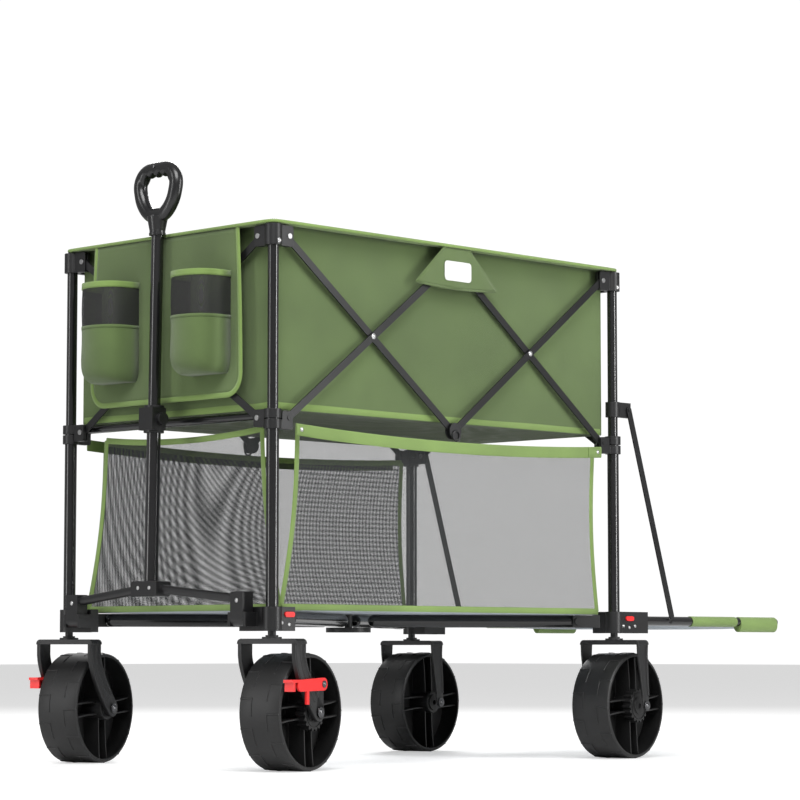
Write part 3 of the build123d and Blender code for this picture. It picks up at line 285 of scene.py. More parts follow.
bolt_steel = hard_finish("blackened_bolt_steel", (0.13, 0.13, 0.135), 0.3, 600, 0.04, edge=1.6, metallic=1.0)
print("hard finishes", len(bpy.data.materials))

# %% [markdown]
# **Cloth finishes.** The basket is olive polyester with a visible weave and a soft sheen. Its edges are
# bound in a lighter green tape, and the mat has a grey-blue underside. The recipe is the same for all of
# them: two close shades from the weave group, its height as a bump, and a high roughness.

# %% The recipe for cloth
def cloth_finish(name, colour, threads, depth, spread=1.22, lying=0.0, sheen=0.25):
    material, tree, shader = new_material(name, 0.82)
    shader.inputs["Sheen Weight"].default_value = sheen
    shader.inputs["Sheen Roughness"].default_value = 0.5
    shader.inputs["Specular IOR Level"].default_value = 0.35
    weave = use_group(tree, weave_group, Threads=threads, Lying=lying)
    darker = tuple(c / spread for c in colour)
    lighter = tuple(c * spread for c in colour)
    base = colour_between(tree, weave.outputs["Shade"], darker, lighter)
    tree.links.new(base, shader.inputs["Base Color"])
    normal = bumped(tree, weave.outputs["Height"], 0.5, depth * MM)
    tree.links.new(normal, shader.inputs["Normal"])
    return material


olive_cloth = cloth_finish("olive_cloth", (0.088, 0.135, 0.042), 900, 0.25)
olive_lying = cloth_finish("olive_cloth_lying", (0.088, 0.135, 0.042), 900, 0.25, lying=1.0)
green_tape = cloth_finish("green_binding_tape", (0.175, 0.27, 0.07), 650, 0.3)
mat_cloth = cloth_finish("grey_mat_cloth", (0.42, 0.47, 0.52), 800, 0.25, lying=1.0)
patch_cloth = cloth_finish("plain_patch", (0.75, 0.76, 0.74), 1500, 0.2, spread=1.05)
dark_cloth = cloth_finish("black_lining", (0.012, 0.013, 0.013), 900, 0.25)
thread = cloth_finish("sewing_thread", (0.16, 0.25, 0.06), 2500, 0.1)
print("cloth finishes", [m.name for m in bpy.data.materials if "cloth" in m.name])

# %% [markdown]
# **Mesh.** The lower deck is fenced with black polyester net. Modelling every thread would take millions
# of faces, so the sheet is one thin surface, and its material is solid on the threads and clear in the
# holes. A hole is where both waves of the weave are near a crest or a trough.

# %% The see-through mesh finish
def mesh_finish(name, colour, holes, solid_share):
    material, tree, shader = new_material(name, 0.6)
    shader.inputs["Base Color"].default_value = (*colour, 1)
    weave = use_group(tree, weave_group, Threads=holes)
    tree.links.new(bumped(tree, weave.outputs["Height"], 0.6, 0.4 * MM), shader.inputs["Normal"])
    level = maths(tree, "ABSOLUTE", weave.outputs["Height"])
    thread_here = maths(tree, "LESS_THAN", level, solid_share)
    tree.links.new(thread_here, shader.inputs["Alpha"])
    return material


black_mesh = mesh_finish("black_mesh", (0.022, 0.024, 0.025), 430, 0.5)
pocket_mesh = mesh_finish("pocket_mesh", (0.012, 0.012, 0.012), 760, 0.8)
print("mesh finishes ready")

# %% [markdown]
# ## Finishes on the CAD parts
# Every CAD node belongs to a slot in the record, such as the paint of the posts. The slot's name picks
# the finish, so a part never has to be named here.

# %% Give every hard node its finish
FINISHES = {
    "post_paint": powder_coat,
    "bracket_plastic": bracket_plastic,
    "rivet_steel": rivet_steel,
    "bar_paint": satin_paint,
    "tube_paint": powder_coat,
    "fork_paint": fork_plastic,
    "wheel_plastic": wheel_plastic,
    "red_plastic": red_plastic,
    "handle_paint": powder_coat,
    "grip_plastic": grip_plastic,
    "green_fabric": olive_cloth,
    "webbing": green_tape,
    "mesh_fabric": black_mesh,
    "mat_fabric": mat_cloth,
}
slot_of = {part["node"]: part["material_slot"] for part in frame["record"]["subparts"]}
for name, part in nodes.items():
    part.data.materials.clear()
    part.data.materials.append(FINISHES[slot_of[name]])
print("finished nodes", len(slot_of))

# %% [markdown]
# ## Tools for the new pieces
# A finished piece leaves the bmesh as one object at the origin, with its place in its vertices. The helper
# recalculates the normals, shades it smooth up to an angle, gives it its finish and sets it on its body.

# %% From bmesh to a finished piece
def made(bm, name, material, body, smooth=35, merge=True, outward=True):
    if merge:
        bmesh.ops.remove_doubles(bm, verts=bm.verts, dist=1e-6)
    if outward:
        bmesh.ops.recalc_face_normals(bm, faces=bm.faces)
    mesh = bpy.data.meshes.new(name)
    bm.to_mesh(mesh)
    bm.free()
    piece = bpy.data.objects.new(name, mesh)
    bpy.context.scene.collection.objects.link(piece)
    mesh.materials.append(material)
    mesh.shade_smooth()
    mesh.set_sharp_from_angle(angle=radians(smooth))
    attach(piece, body)
    return piece


def thickened(piece, thickness):
    """Gives a cloth sheet its thickness, half to each side."""
    solid = piece.modifiers.new("thickness", "SOLIDIFY")
    solid.thickness = thickness
    solid.offset = 0
    return piece


def follow_fold(piece):
    """Gives the piece its own copy of its mesh."""
    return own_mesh(piece)


# %% [markdown]
# Three mesh steps come back in many pieces, so each has a short name: a flat grid that is then moved into
# shape, the corners out of what an extrusion made, and a closed cylinder.

# %% Grid, corners and cylinder
def grid(bm, columns, rows):
    """The corners of a flat grid, one unit wide round the origin."""
    return bmesh.ops.create_grid(bm, x_segments=columns, y_segments=rows, size=0.5)["verts"]


def corners_of(geom):
    return [g for g in geom if isinstance(g, bmesh.types.BMVert)]


def cylinder(bm, radius, depth, matrix, segments=32, top=None):
    """A closed cylinder along Z, or a cone if its top has a radius of its own."""
    top = radius if top is None else top
    bmesh.ops.create_cone(
        bm, cap_ends=True, segments=segments, radius1=radius, radius2=top, depth=depth, matrix=matrix
    )


# %% [markdown]
# Binding tape, piping and straps all have one small section that runs along a line. The section starts as
# a circle, is flattened, and is extruded from point to point; each new ring is turned to the line.

# %% A band along a line
def band(bm, points, normal, wide, thick, closed=False, sides=10):
    """Sweeps a flattened ring of half sizes wide and thick; wide lies along normal."""
    points = [Vector(p) for p in points]
    count = len(points)
    across = Vector(normal).normalized()

    def station(i):
        before = points[i - 1] if closed or i else points[i]
        after = points[(i + 1) % count] if closed or i < count - 1 else points[i]
        forward = (after - before).normalized()
        out = forward.cross(across).normalized()
        turn = Matrix((across * wide, out * thick, forward)).transposed().to_4x4()
        return Matrix.Translation(points[i]) @ turn

    ring = bmesh.ops.create_circle(bm, segments=sides, radius=1, matrix=station(0))["verts"]
    first = last = list({e for v in ring for e in v.link_edges})
    for i in range(1, count):
        grown = bmesh.ops.extrude_edge_only(bm, edges=last)["geom"]
        step = station(i) @ station(i - 1).inverted()
        verts = corners_of(grown)
        bmesh.ops.transform(bm, matrix=step, verts=verts)
        last = [g for g in grown if isinstance(g, bmesh.types.BMEdge) and not g.link_faces[1:]]
    if closed:
        bmesh.ops.bridge_loops(bm, edges=first + last)
    else:
        bmesh.ops.edgeloop_fill(bm, edges=first)
        bmesh.ops.edgeloop_fill(bm, edges=last)


def steps(low, high, count):
    return [low + (high - low) * i / count for i in range(count + 1)]


def rounded_loop(low, high, radius, z, turns=8):
    """Points round a rectangle with round corners, from two (x, y) corners."""
    loop = []
    corners = [(high[0], high[1], 0), (low[0], high[1], 1), (low[0], low[1], 2), (high[0], low[1], 3)]
    for x, y, quarter in corners:
        centre_x = x - radius if quarter in (0, 3) else x + radius
        centre_y = y - radius if quarter in (0, 1) else y + radius
        for step in range(turns + 1):
            angle = (quarter + step / turns) * pi / 2
            loop.append((centre_x + radius * cos(angle), centre_y + radius * sin(angle), z))
    return loop


# %% [markdown]
# Stitches show on every sewn edge. One stitch is a tiny flattened ball a few millimetres long, laid along
# the seam at an even pitch. There are hundreds, so each has only a few faces.

# %% A row of stitches
def stitches(bm, start, end, out, pitch=5 * MM, length=3.2 * MM, size=0.45 * MM):
    start, end, out = Vector(start), Vector(end), Vector(out).normalized()
    run = end - start
    forward = run.normalized()
    count = max(1, int(run.length / pitch))
    turn = Matrix((forward * length / 2, forward.cross(out) * size, out * size)).transposed().to_4x4()
    for i in range(count):
        spot = start + run * ((i + 0.5) / count)
        bmesh.ops.create_icosphere(bm, subdivisions=1, radius=1, matrix=Matrix.Translation(spot) @ turn)


# %% [markdown]
# ## The basket cloth
# The basket is one sewn bag of olive cloth that hangs from the top brackets. Its walls are pulled tight
# between the posts, so they are nearly flat: they belly by a few millimetres, pull into shallow creases
# towards the corners, and hang straight at the seams. A grid moved point by point does that cheaply.

# %% A wall of stretched cloth
basket_low, basket_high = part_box("upper_basket")
HEM_HEIGHT = 8 * MM
WALL_TOP = basket_high.z - 4 * MM
WALL_BOTTOM = basket_low.z + 1 * MM
WALL_INSET = 16 * MM
CREASE = 1.6 * MM


def creases(u, v, seed):
    """Shallow folds that run in from the four corners of a wall and fade out."""
    height = 0.0
    for corner_u, corner_v in ((0, 0), (1, 0), (0, 1), (1, 1)):
        du, dv = abs(u - corner_u), abs(v - corner_v)
        near = exp(-7 * (du + 0.5 * dv))
        height += near * sin(26 * (dv - 0.75 * du) + seed + corner_u)
    return height * CREASE + noise.noise(Vector((u * 5, v * 2.5, seed))) * 1.4 * MM


def cloth_wall(bm, origin, along, up, out, belly, seed, columns=72, rows=28):
    """A sheet from origin along two vectors, moved outwards by its belly and creases."""
    origin, along, up, out = Vector(origin), Vector(along), Vector(up), Vector(out).normalized()
    for vert in grid(bm, columns, rows):
        u, v = vert.co.x + 0.5, vert.co.y + 0.5
        held = min(1.0, 12 * u * (1 - u)) * min(1.0, 9 * v * (1 - v) + 0.05)
        move = belly * sin(pi * u) * sin(pi * v) + creases(u, v, seed) * held
        vert.co = origin + along * u + up * v + out * move


# %% [markdown]
# Such a bag can be cut as five flat pieces and sewn along their edges. Here five sheets meet along those
# edges, and corners that fall on each other are merged when the piece is made.

# %% Sew the four walls and the floor into one bag
left_wall, right_wall = LEFT_Y + WALL_INSET, RIGHT_Y - WALL_INSET
front_wall, rear_wall = FRONT_X + WALL_INSET, REAR_X - WALL_INSET
long, wide, tall = rear_wall - front_wall, right_wall - left_wall, WALL_TOP - WALL_BOTTOM
ALONG, ACROSS, UP = (long, 0, 0), (0, wide, 0), (0, 0, tall)
front_left_foot = (front_wall, left_wall, WALL_BOTTOM)
SIDE_BELLY, END_BELLY, FLOOR_BELLY = 5 * MM, 4 * MM, 3 * MM
bag = bmesh.new()
cloth_wall(bag, front_left_foot, ALONG, UP, (0, -1, 0), SIDE_BELLY, 1)
cloth_wall(bag, (front_wall, right_wall, WALL_BOTTOM), ALONG, UP, (0, 1, 0), SIDE_BELLY, 2)
cloth_wall(bag, front_left_foot, ACROSS, UP, (-1, 0, 0), END_BELLY, 3, 44)
cloth_wall(bag, (rear_wall, left_wall, WALL_BOTTOM), ACROSS, UP, (1, 0, 0), END_BELLY, 4, 44)
cloth_wall(bag, front_left_foot, ALONG, ACROSS, (0, 0, 1), FLOOR_BELLY, 5, 72, 44)
basket = made(bag, "basket_cloth", olive_cloth, "front_frame")
thickened(basket, 1.2 * MM)
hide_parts("upper_basket")
follow_fold(basket)
print("basket faces", len(basket.data.polygons), "wall", round(long, 3), "by", round(tall, 3))

# %% [markdown]
# The hem is a wide tape folded over the rim. It lies on top of the brackets, so from below it shows as a
# flat lighter band that runs right round outside the posts. A closed band with round corners makes it, with a
# thin roll of tape under its outer edge and a line of stitching.

# %% The hem round the rim
hem = bmesh.new()
rim_z = basket_high.z - HEM_HEIGHT / 2
outer_low = (basket_low.x + 16 * MM, basket_low.y + 16 * MM)
outer_high = (basket_high.x - 16 * MM, basket_high.y - 16 * MM)
band(hem, rounded_loop(outer_low, outer_high, 18 * MM, rim_z), (0, 0, 1), 3.6 * MM, 15.5 * MM, True, 14)
roll_low = (basket_low.x + 1.6 * MM, basket_low.y + 1.6 * MM)
roll_high = (basket_high.x - 1.6 * MM, basket_high.y - 1.6 * MM)
roll = rounded_loop(roll_low, roll_high, 22 * MM, rim_z - 1.2 * MM)
band(hem, roll, (0, 0, 1), 2.9 * MM, 1.6 * MM, True)
rim = made(hem, "basket_hem", green_tape, "front_frame", 60)
follow_fold(rim)

seam = bmesh.new()
stitch_z = basket_high.z - 0.3 * MM
for y, _ in SIDES.values():
    stitches(seam, (FRONT_X, y, stitch_z), (REAR_X, y, stitch_z), (0, 0, 1))
for x in (FRONT_X, REAR_X):
    stitches(seam, (x, LEFT_Y, stitch_z), (x, RIGHT_Y, stitch_z), (0, 0, 1))
follow_fold(made(seam, "hem_stitches", thread, "front_frame", merge=False))
print("hem at z", round(rim_z, 4))

# %% [markdown]
# The bottom edge of the bag is a bound seam too, just above the middle brackets.

# %% The binding round the bottom of the bag
edge = bmesh.new()
loop = rounded_loop((front_wall, left_wall), (rear_wall, right_wall), 6 * MM, WALL_BOTTOM + 6 * MM)
band(edge, loop, (0, 0, 1), 6.5 * MM, 1.6 * MM, True)
follow_fold(made(edge, "basket_bottom_binding", green_tape, "front_frame", 60))

# %% [markdown]
# ## The flap over the top hub
# At the middle of each long side a tab of cloth hangs from the rim over the two bar ends. The bars push
# it out, so it is narrow at the top and pulled wide at its lower corners. It carries a plain sewn patch.

# %% A flap and its patch on each side
FLAP_TOP_WIDTH, FLAP_WIDTH = 62 * MM, 214 * MM
FLAP_TOP = basket_high.z - 7 * MM
FLAP_BOTTOM = FLAP_TOP - 71 * MM
FLAP_SAG, FLAP_BELLY = 5 * MM, 2.5 * MM
PATCH_WIDTH, PATCH_HEIGHT = 70 * MM, 36 * MM
for label, (post_y, side) in SIDES.items():
    flap = bmesh.new()
    face_y = post_y + side * 9.5 * MM
    for vert in grid(flap, 40, 14):
        u, v = vert.co.x * 2, vert.co.y + 0.5
        width = FLAP_WIDTH + (FLAP_TOP_WIDTH - FLAP_WIDTH) * v
        hang = FLAP_SAG * (1 - u * u) * (1 - v)
        out = FLAP_BELLY * (1 - u * u) * (1 - v) + 0.8 * MM * sin(7 * u + 2) * (1 - v)
        z = FLAP_BOTTOM + (FLAP_TOP - FLAP_BOTTOM) * v - hang
        vert.co = Vector((MID_X + u * width / 2, face_y + side * out, z))
    tab = made(flap, f"hub_flap_{label}", olive_cloth, "front_frame")
    follow_fold(thickened(tab, 1.4 * MM))

    hemline = bmesh.new()
    for u in (-1, 1):
        low_corner = (MID_X + u * FLAP_WIDTH / 2, face_y, FLAP_BOTTOM)
        top_corner = (MID_X + u * FLAP_TOP_WIDTH / 2, face_y, FLAP_TOP)
        band(hemline, (low_corner, top_corner), (0, 1, 0), 1.3 * MM, 2.2 * MM)
    lower = []
    for u in [i / 12 - 1 for i in range(25)]:
        slack = 1 - u * u
        y, z = face_y + side * FLAP_BELLY * slack, FLAP_BOTTOM - FLAP_SAG * slack
        lower.append((MID_X + u * FLAP_WIDTH / 2, y, z))
    band(hemline, lower, (0, 1, 0), 1.3 * MM, 2.2 * MM)
    follow_fold(made(hemline, f"flap_binding_{label}", olive_cloth, "front_frame", 60))

    badge = bmesh.new()
    centre = Vector((MID_X, face_y + side * 3.2 * MM, FLAP_BOTTOM + 27 * MM))
    flat = Matrix.Diagonal((PATCH_WIDTH, 1.2 * MM, PATCH_HEIGHT, 1))
    bmesh.ops.create_cube(badge, size=1, matrix=Matrix.Translation(centre) @ flat)
    upright = [e for e in badge.edges if abs((e.verts[0].co - e.verts[1].co).normalized().y) > 0.9]
    bmesh.ops.bevel(badge, geom=upright, offset=7 * MM, segments=5, profile=0.5, affect="EDGES", material=-1)
    follow_fold(made(badge, f"plain_patch_{label}", patch_cloth, "front_frame", 30))
print("flaps", FLAP_WIDTH, "m wide")

# %% [markdown]
# ## The pocket panel
# The handle end carries a separate cloth panel with two bottle pockets. The panel has round lower corners
# and a piped edge. Each pocket is a half-round bag: cloth below, an open net window, and a bound top.

# %% The panel and its piping
panel_low, panel_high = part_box("pocket_panel")
PANEL_X = FRONT_X - 9.5 * MM
PANEL_CORNER = 36 * MM


def waist(v):
    """The panel is drawn in a little towards the rim, where it is sewn down."""
    return 0.955 - 0.045 * v * v


panel = bmesh.new()
for vert in grid(panel, 40, 30):
    u, v = vert.co.x * 2, vert.co.y + 0.5
    y = MID_Y + u * (panel_high.y - panel_low.y) / 2
    z = panel_low.z + (panel_high.z - panel_low.z) * v
    inset = max(0.0, PANEL_CORNER - (z - panel_low.z))
    reach = (panel_high.y - panel_low.y) / 2
    limit = reach - PANEL_CORNER + (PANEL_CORNER**2 - inset**2) ** 0.5
    bow = 1.6 * MM * sin(pi * v) * noise.noise(Vector((u * 2, v * 2, 7)))
    held = max(-limit, min(limit, y - MID_Y)) * waist(v)
    vert.co = Vector((PANEL_X + bow, MID_Y + held, z))
sheet = thickened(made(panel, "pocket_panel_cloth", olive_cloth, "front_frame"), 1.6 * MM)
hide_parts("pocket_panel")

piping = bmesh.new()
outline = [(PANEL_X, panel_high.y, panel_high.z)]
for quarter in (0, 1):
    for step in range(9):
        angle = -(quarter + step / 8) * pi / 2
        centre_y = panel_high.y - PANEL_CORNER if quarter == 0 else panel_low.y + PANEL_CORNER
        y, z = centre_y + PANEL_CORNER * cos(angle), panel_low.z + PANEL_CORNER * (1 + sin(angle))
        outline.append((PANEL_X, y, z))
outline.append((PANEL_X, panel_low.y, panel_high.z))
upper_part = [(PANEL_X, panel_high.y, z) for z in steps(panel_high.z, panel_low.z + PANEL_CORNER, 8)][1:-1]
outline[1:1] = upper_part
outline[-1:-1] = [(x, panel_low.y, z) for x, y, z in reversed(upper_part)]
tall_panel = panel_high.z - panel_low.z
drawn = [(x, MID_Y + (y - MID_Y) * waist((z - panel_low.z) / tall_panel), z) for x, y, z in outline]
band(piping, drawn, (1, 0, 0), 1.9 * MM, 5 * MM)
made(piping, "panel_piping", green_tape, "front_frame", 60)
print("panel", round(panel_high.y - panel_low.y, 3), "m wide")

# %% [markdown]
# A pocket's plan is half an ellipse, flatter at the front than a true one because cloth hangs in flats. A
# half ring is drawn to that plan at several heights and the rings are bridged; near the bottom they draw
# in, which gives the bag its rounded lower corners.

# %% One pocket from bands of cloth and net
POCKET_CENTRES = (MID_Y - 121 * MM, MID_Y + 121 * MM)
POCKET_HALF, POCKET_DEEP = 52 * MM, 71 * MM
POCKET_Z = {"bottom": 0.684, "net": 0.782, "hem": 0.853, "top": 0.862}


def pocket_ring(bm, centre_y, z, shrink, sides=36):
    """The open half ring of a pocket at one height."""
    points = []
    for i in range(sides + 1):
        angle = pi / 2 + pi * i / sides
        flat = abs(cos(angle)) ** 0.5
        x = PANEL_X - POCKET_DEEP * shrink * flat
        points.append(bm.verts.new((x, centre_y + POCKET_HALF * (0.5 + shrink / 2) * sin(angle), z)))
    return [bm.edges.new(pair) for pair in zip(points, points[1:])]


def pocket_wall(z_values, centre_y, floor=False):
    """Bridges half rings at several heights into one curved sheet."""
    bm = bmesh.new()
    rings = []
    for z in z_values:
        rise = max(0.0, z - POCKET_Z["bottom"])
        shrink = 1 - 0.3 * exp(-rise / (9 * MM)) + 0.012 * sin(60 * rise)
        rings.append(pocket_ring(bm, centre_y, z, shrink))
    for lower, upper in zip(rings, rings[1:]):
        bmesh.ops.bridge_loops(bm, edges=lower + upper)
    if floor:
        bmesh.ops.contextual_create(bm, geom=rings[0])
    return bm


for label, centre_y in zip(("left", "right"), POCKET_CENTRES):
    heights = [POCKET_Z["bottom"] + s * MM for s in (0, 2, 5, 9, 14, 20, 28, 40, 55, 70, 85, 92)]
    cloth = pocket_wall(heights + [POCKET_Z["net"]], centre_y, floor=True)
    cloth = made(cloth, f"pocket_cloth_{label}", olive_cloth, "front_frame", 60)
    thickened(cloth, 1.4 * MM)
    net = pocket_wall(steps(POCKET_Z["net"], POCKET_Z["hem"], 6), centre_y)
    made(net, f"pocket_net_{label}", pocket_mesh, "front_frame", 60)
    hem_ring = pocket_wall(steps(POCKET_Z["hem"] - 2 * MM, POCKET_Z["top"], 3), centre_y)
    hem_ring = made(hem_ring, f"pocket_hem_{label}", green_tape, "front_frame", 60)
    thickened(hem_ring, 3 * MM)
    joint_line = pocket_wall(steps(POCKET_Z["net"] - 4 * MM, POCKET_Z["net"] + 2 * MM, 2), centre_y)
    joint_line = made(joint_line, f"pocket_seam_{label}", olive_cloth, "front_frame", 60)
    thickened(joint_line, 2.4 * MM)
print("pockets", POCKET_CENTRES)

# %% [markdown]
# ## The side straps
# A webbing strap runs along each long side at the height of the middle brackets, with a little slack. It
# is folded back and riveted at both ends. The line of a slack strap is close to a parabola.

# %% Straps with doubled ends
strap_low, strap_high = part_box("side_straps")
STRAP_WIDE = 21 * MM
SAG = 12 * MM
straps, strap_seams, strap_rivets = bmesh.new(), bmesh.new(), bmesh.new()
for post_y, side in SIDES.values():
    y = post_y + side * 9 * MM
    line = []
    for i in range(41):
        t = i / 20 - 1
        x = MID_X + t * (strap_high.x - strap_low.x) / 2
        line.append((x, y, strap_high.z - STRAP_WIDE / 2 - 0.5 * MM - SAG * (1 - t * t)))
    band(straps, line, (0, 0, 1), STRAP_WIDE / 2, 0.9 * MM, sides=12)
    for end, inward in ((line[0], 1), (line[-1], -1)):
        fold = [(end[0] + inward * s * MM, y + side * 1.5 * MM, end[2] - s * 0.04 * MM) for s in (1, 20, 38)]
        band(straps, fold, (0, 0, 1), STRAP_WIDE / 2 - 0.6 * MM, 0.8 * MM, sides=12)
        for row in (-7, 7):
            z = end[2] + row * MM
            first = (end[0] + inward * 4 * MM, y + side * 2.4 * MM, z)
            stitches(strap_seams, first, (first[0] + inward * 30 * MM, first[1], z), (0, side, 0))
        spot = Matrix.Translation((end[0] + inward * 12 * MM, y + side * 2.4 * MM, end[2]))
        dome = spot @ Matrix.Diagonal((1, 0.5, 1, 1))
        bmesh.ops.create_uvsphere(strap_rivets, u_segments=16, v_segments=10, radius=4 * MM, matrix=dome)
strap = made(straps, "side_strap_webbing", green_tape, "front_frame", 50)
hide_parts("side_straps")
follow_fold(strap)
follow_fold(made(strap_seams, "strap_stitches", thread, "front_frame", merge=False))
follow_fold(made(strap_rivets, "strap_rivets", rivet_steel, "front_frame"))
print("strap", round(strap_high.x - strap_low.x, 3), "m long")

# %% [markdown]
# ## The net round the lower deck
# Net walls close the two long sides and the handle end of the lower deck. The real ones are cut as a
# trapezium, wider at the mat than at the top, and their edges are bound in the lighter tape and curve
# inwards a little under tension. Each wall is one sheet stretched between its bindings.

# %% Net walls and their bindings
mesh_low, mesh_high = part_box("lower_mesh")
NET_TOP, NET_BOTTOM = mesh_high.z - 10 * MM, mesh_low.z + 7 * MM
SIDE_TOP = (FRONT_X + 72 * MM, REAR_X - 44 * MM)
SIDE_BOTTOM = (FRONT_X + 34 * MM, REAR_X - 34 * MM)
END_TOP = (LEFT_Y + 62 * MM, RIGHT_Y - 62 * MM)
END_BOTTOM = (LEFT_Y + 16 * MM, RIGHT_Y - 16 * MM)
PULL_IN = 10 * MM


def top_sag(u, v):
    """The top of a net is sewn to a slack strap, so it hangs lowest at the middle."""
    return 11 * MM * (1 - (2 * u - 1) ** 2) * v**3


def net_edge(top, bottom, v):
    """Where a slanting edge is at height share v; tension bows it inwards."""
    return [b + (t - b) * v + s * PULL_IN * sin(pi * v) for t, b, s in zip(top, bottom, (1, -1))]


def net_wall(name, top, bottom, point):
    """One net with tape on all four edges; point(s, z, u, v) turns a place on it into 3D."""
    rows, columns = 16, 40
    net, tape = bmesh.new(), bmesh.new()
    for vert in grid(net, columns, rows):
        u, v = vert.co.x + 0.5, vert.co.y + 0.5
        start, end = net_edge(top, bottom, v)
        z = NET_BOTTOM + (NET_TOP - NET_BOTTOM) * v - top_sag(u, v)
        vert.co = point(start + (end - start) * u, z, u, v)
    wall = made(net, name, black_mesh, "front_frame", outward=False)
    lines = {side: [] for side in ("start", "end", "top", "bottom")}
    for v in steps(0, 1, rows):
        start, end = net_edge(top, bottom, v)
        z = NET_BOTTOM + (NET_TOP - NET_BOTTOM) * v
        lines["start"].append(point(start, z, 0, v))
        lines["end"].append(point(end, z, 1, v))
    for v, side in ((0, "bottom"), (1, "top")):
        start, end = net_edge(top, bottom, v)
        z = NET_BOTTOM + (NET_TOP - NET_BOTTOM) * v
        lines[side] = [point(start + (end - start) * u, z - top_sag(u, v), u, v) for u in steps(0, 1, 24)]
    normal = (lines["top"][-1] - lines["top"][0]).cross(Vector((0, 0, 1)))
    for line in lines.values():
        band(tape, line, normal, 1.2 * MM, 5.5 * MM)
    binding = made(tape, f"{name}_binding", green_tape, "front_frame", 60)
    return wall, binding


net_pieces = []
for label, (post_y, side) in SIDES.items():
    plane = post_y - side * 14 * MM

    def on_side(s, z, u, v, plane=plane, side=side):
        return Vector((s, plane + side * 2 * MM * sin(pi * u) * sin(pi * v), z))

    net_pieces += net_wall(f"side_net_{label}", SIDE_TOP, SIDE_BOTTOM, on_side)


def on_end(s, z, u, v):
    return Vector((FRONT_X + 33 * MM - 2 * MM * sin(pi * u) * sin(pi * v), s, z))


net_pieces += net_wall("handle_end_net", END_TOP, END_BOTTOM, on_end)
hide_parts("lower_mesh")
for piece in net_pieces:
    follow_fold(piece)
print("net walls", len(net_pieces) // 2)

# %% [markdown]
# ## The mat of the lower deck
# The mat is a thin foam pad in cloth. Its edge is soft and bound with tape, its top is black and it shows a
# grey-blue underside between the rails. A grid is crowned towards its middle and extruded down flat.

# %% The mat
mat_low, mat_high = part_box("deck_mat")
pad = bmesh.new()
for vert in grid(pad, 60, 36):
    u, v = 2 * vert.co.x, 2 * vert.co.y
    rise = (1 - u**8) * (1 - v**8)
    dimple = 0.4 * MM * noise.noise(Vector((u * 6, v * 4, 3)))
    vert.co = Vector((
        (mat_low.x + mat_high.x) / 2 + u * (mat_high.x - mat_low.x) / 2 * (1 - 0.01 * v**8),
        (mat_low.y + mat_high.y) / 2 + v * (mat_high.y - mat_low.y) / 2 * (1 - 0.01 * u**8),
        mat_high.z - 3 * MM + 2.6 * MM * rise + dimple * rise,
    ))
top_faces = list(pad.faces)
under = bmesh.ops.extrude_face_region(pad, geom=top_faces)["geom"]
for vert in corners_of(under):
    vert.co.z = mat_low.z + 0.6 * MM
mat = made(pad, "deck_pad", mat_cloth, "front_frame", 50)
mat.data.materials.append(dark_cloth)
for face in mat.data.polygons:
    face.material_index = 1 if face.normal.z > 0.3 else 0
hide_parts("deck_mat")
follow_fold(mat)

tape = bmesh.new()
inset = 1.5 * MM
low, high = (mat_low.x + inset, mat_low.y + inset), (mat_high.x - inset, mat_high.y - inset)
band(tape, rounded_loop(low, high, 8 * MM, (mat_low.z + mat_high.z) / 2), (0, 0, 1), 3.6 * MM, 1.4 * MM, True)
follow_fold(made(tape, "mat_binding", green_tape, "front_frame", 60))
print("mat", [round(v, 3) for v in (mat_high - mat_low)])

# %% [markdown]
# ## The wheels
# Each wheel is a hollow black moulding: a wide smooth tyre with shallow L-shaped grooves, a rim, a web in
# the middle, ribs on both sides and a hub. The tyre is a spun profile fine enough that one slice of it is
# as wide as a groove, and the faces that lie in a groove are pushed in.

# %% The tyre
WHEEL_R, TYRE_HALF = 100 * MM, 41 * MM
TREAD_SLICES, BLOCK_SLICES = 192, 16
GROOVE_DEPTH = 1.1 * MM


def spun(bm, profile, slices):
    """Spins a closed profile of (radius, y) points round the Y axis."""
    points = [bm.verts.new((r, y, 0)) for r, y in profile]
    edges = [bm.edges.new((points[i - 1], points[i])) for i in range(len(points))]
    bmesh.ops.spin(
        bm, geom=points + edges, cent=(0, 0, 0), axis=(0, 1, 0), angle=2 * pi, steps=slices, use_merge=True
    )


def tyre(bm):
    half, r = TYRE_HALF, WHEEL_R
    outside = [(r - 3.5 * MM, -half), (r - 1.2 * MM, -half + 1.5 * MM), (r - 0.2 * MM, -half + 5 * MM)]
    crown = [(r, y * MM) for y in (-17, -14, 14, 17)]
    profile = outside + crown + [(x, -y) for x, y in reversed(outside)]
    inner = r - 6 * MM
    profile += [(inner - 1 * MM, half), (inner - 1 * MM, half - 4 * MM), (inner + 1 * MM, half - 5 * MM)]
    profile += [(inner + 1 * MM, -half + 5 * MM), (inner - 1 * MM, -half + 4 * MM), (inner - 1 * MM, -half)]
    spun(bm, profile, TREAD_SLICES)
    grooves = []
    for face in bm.faces:
        spot = face.calc_center_median()
        if spot.xz.length < r - 2 * MM:
            continue
        angle = spot.xz.angle_signed(Vector((1, 0))) % (2 * pi)
        slice_number = int(round(angle / (2 * pi) * TREAD_SLICES - 0.5))
        place_in_block = slice_number % BLOCK_SLICES
        offset = BLOCK_SLICES // 2 if spot.y > 0 else 0
        turned_place = (place_in_block + offset) % BLOCK_SLICES
        y = abs(spot.y)
        across = turned_place == 0 and 17 * MM < y < half - 3 * MM
        around = turned_place <= 9 and 14 * MM < y < 17 * MM
        if across or around:
            grooves.append(face)
    bmesh.ops.inset_region(bm, faces=grooves, thickness=0.5 * MM, depth=-GROOVE_DEPTH, use_even_offset=True)


# %% [markdown]
# Inside the tyre stand four pairs of thin curved ribs that join the hub to the rim. On the outer face the
# hub carries a ring with teeth, which the brake's tooth drops into.

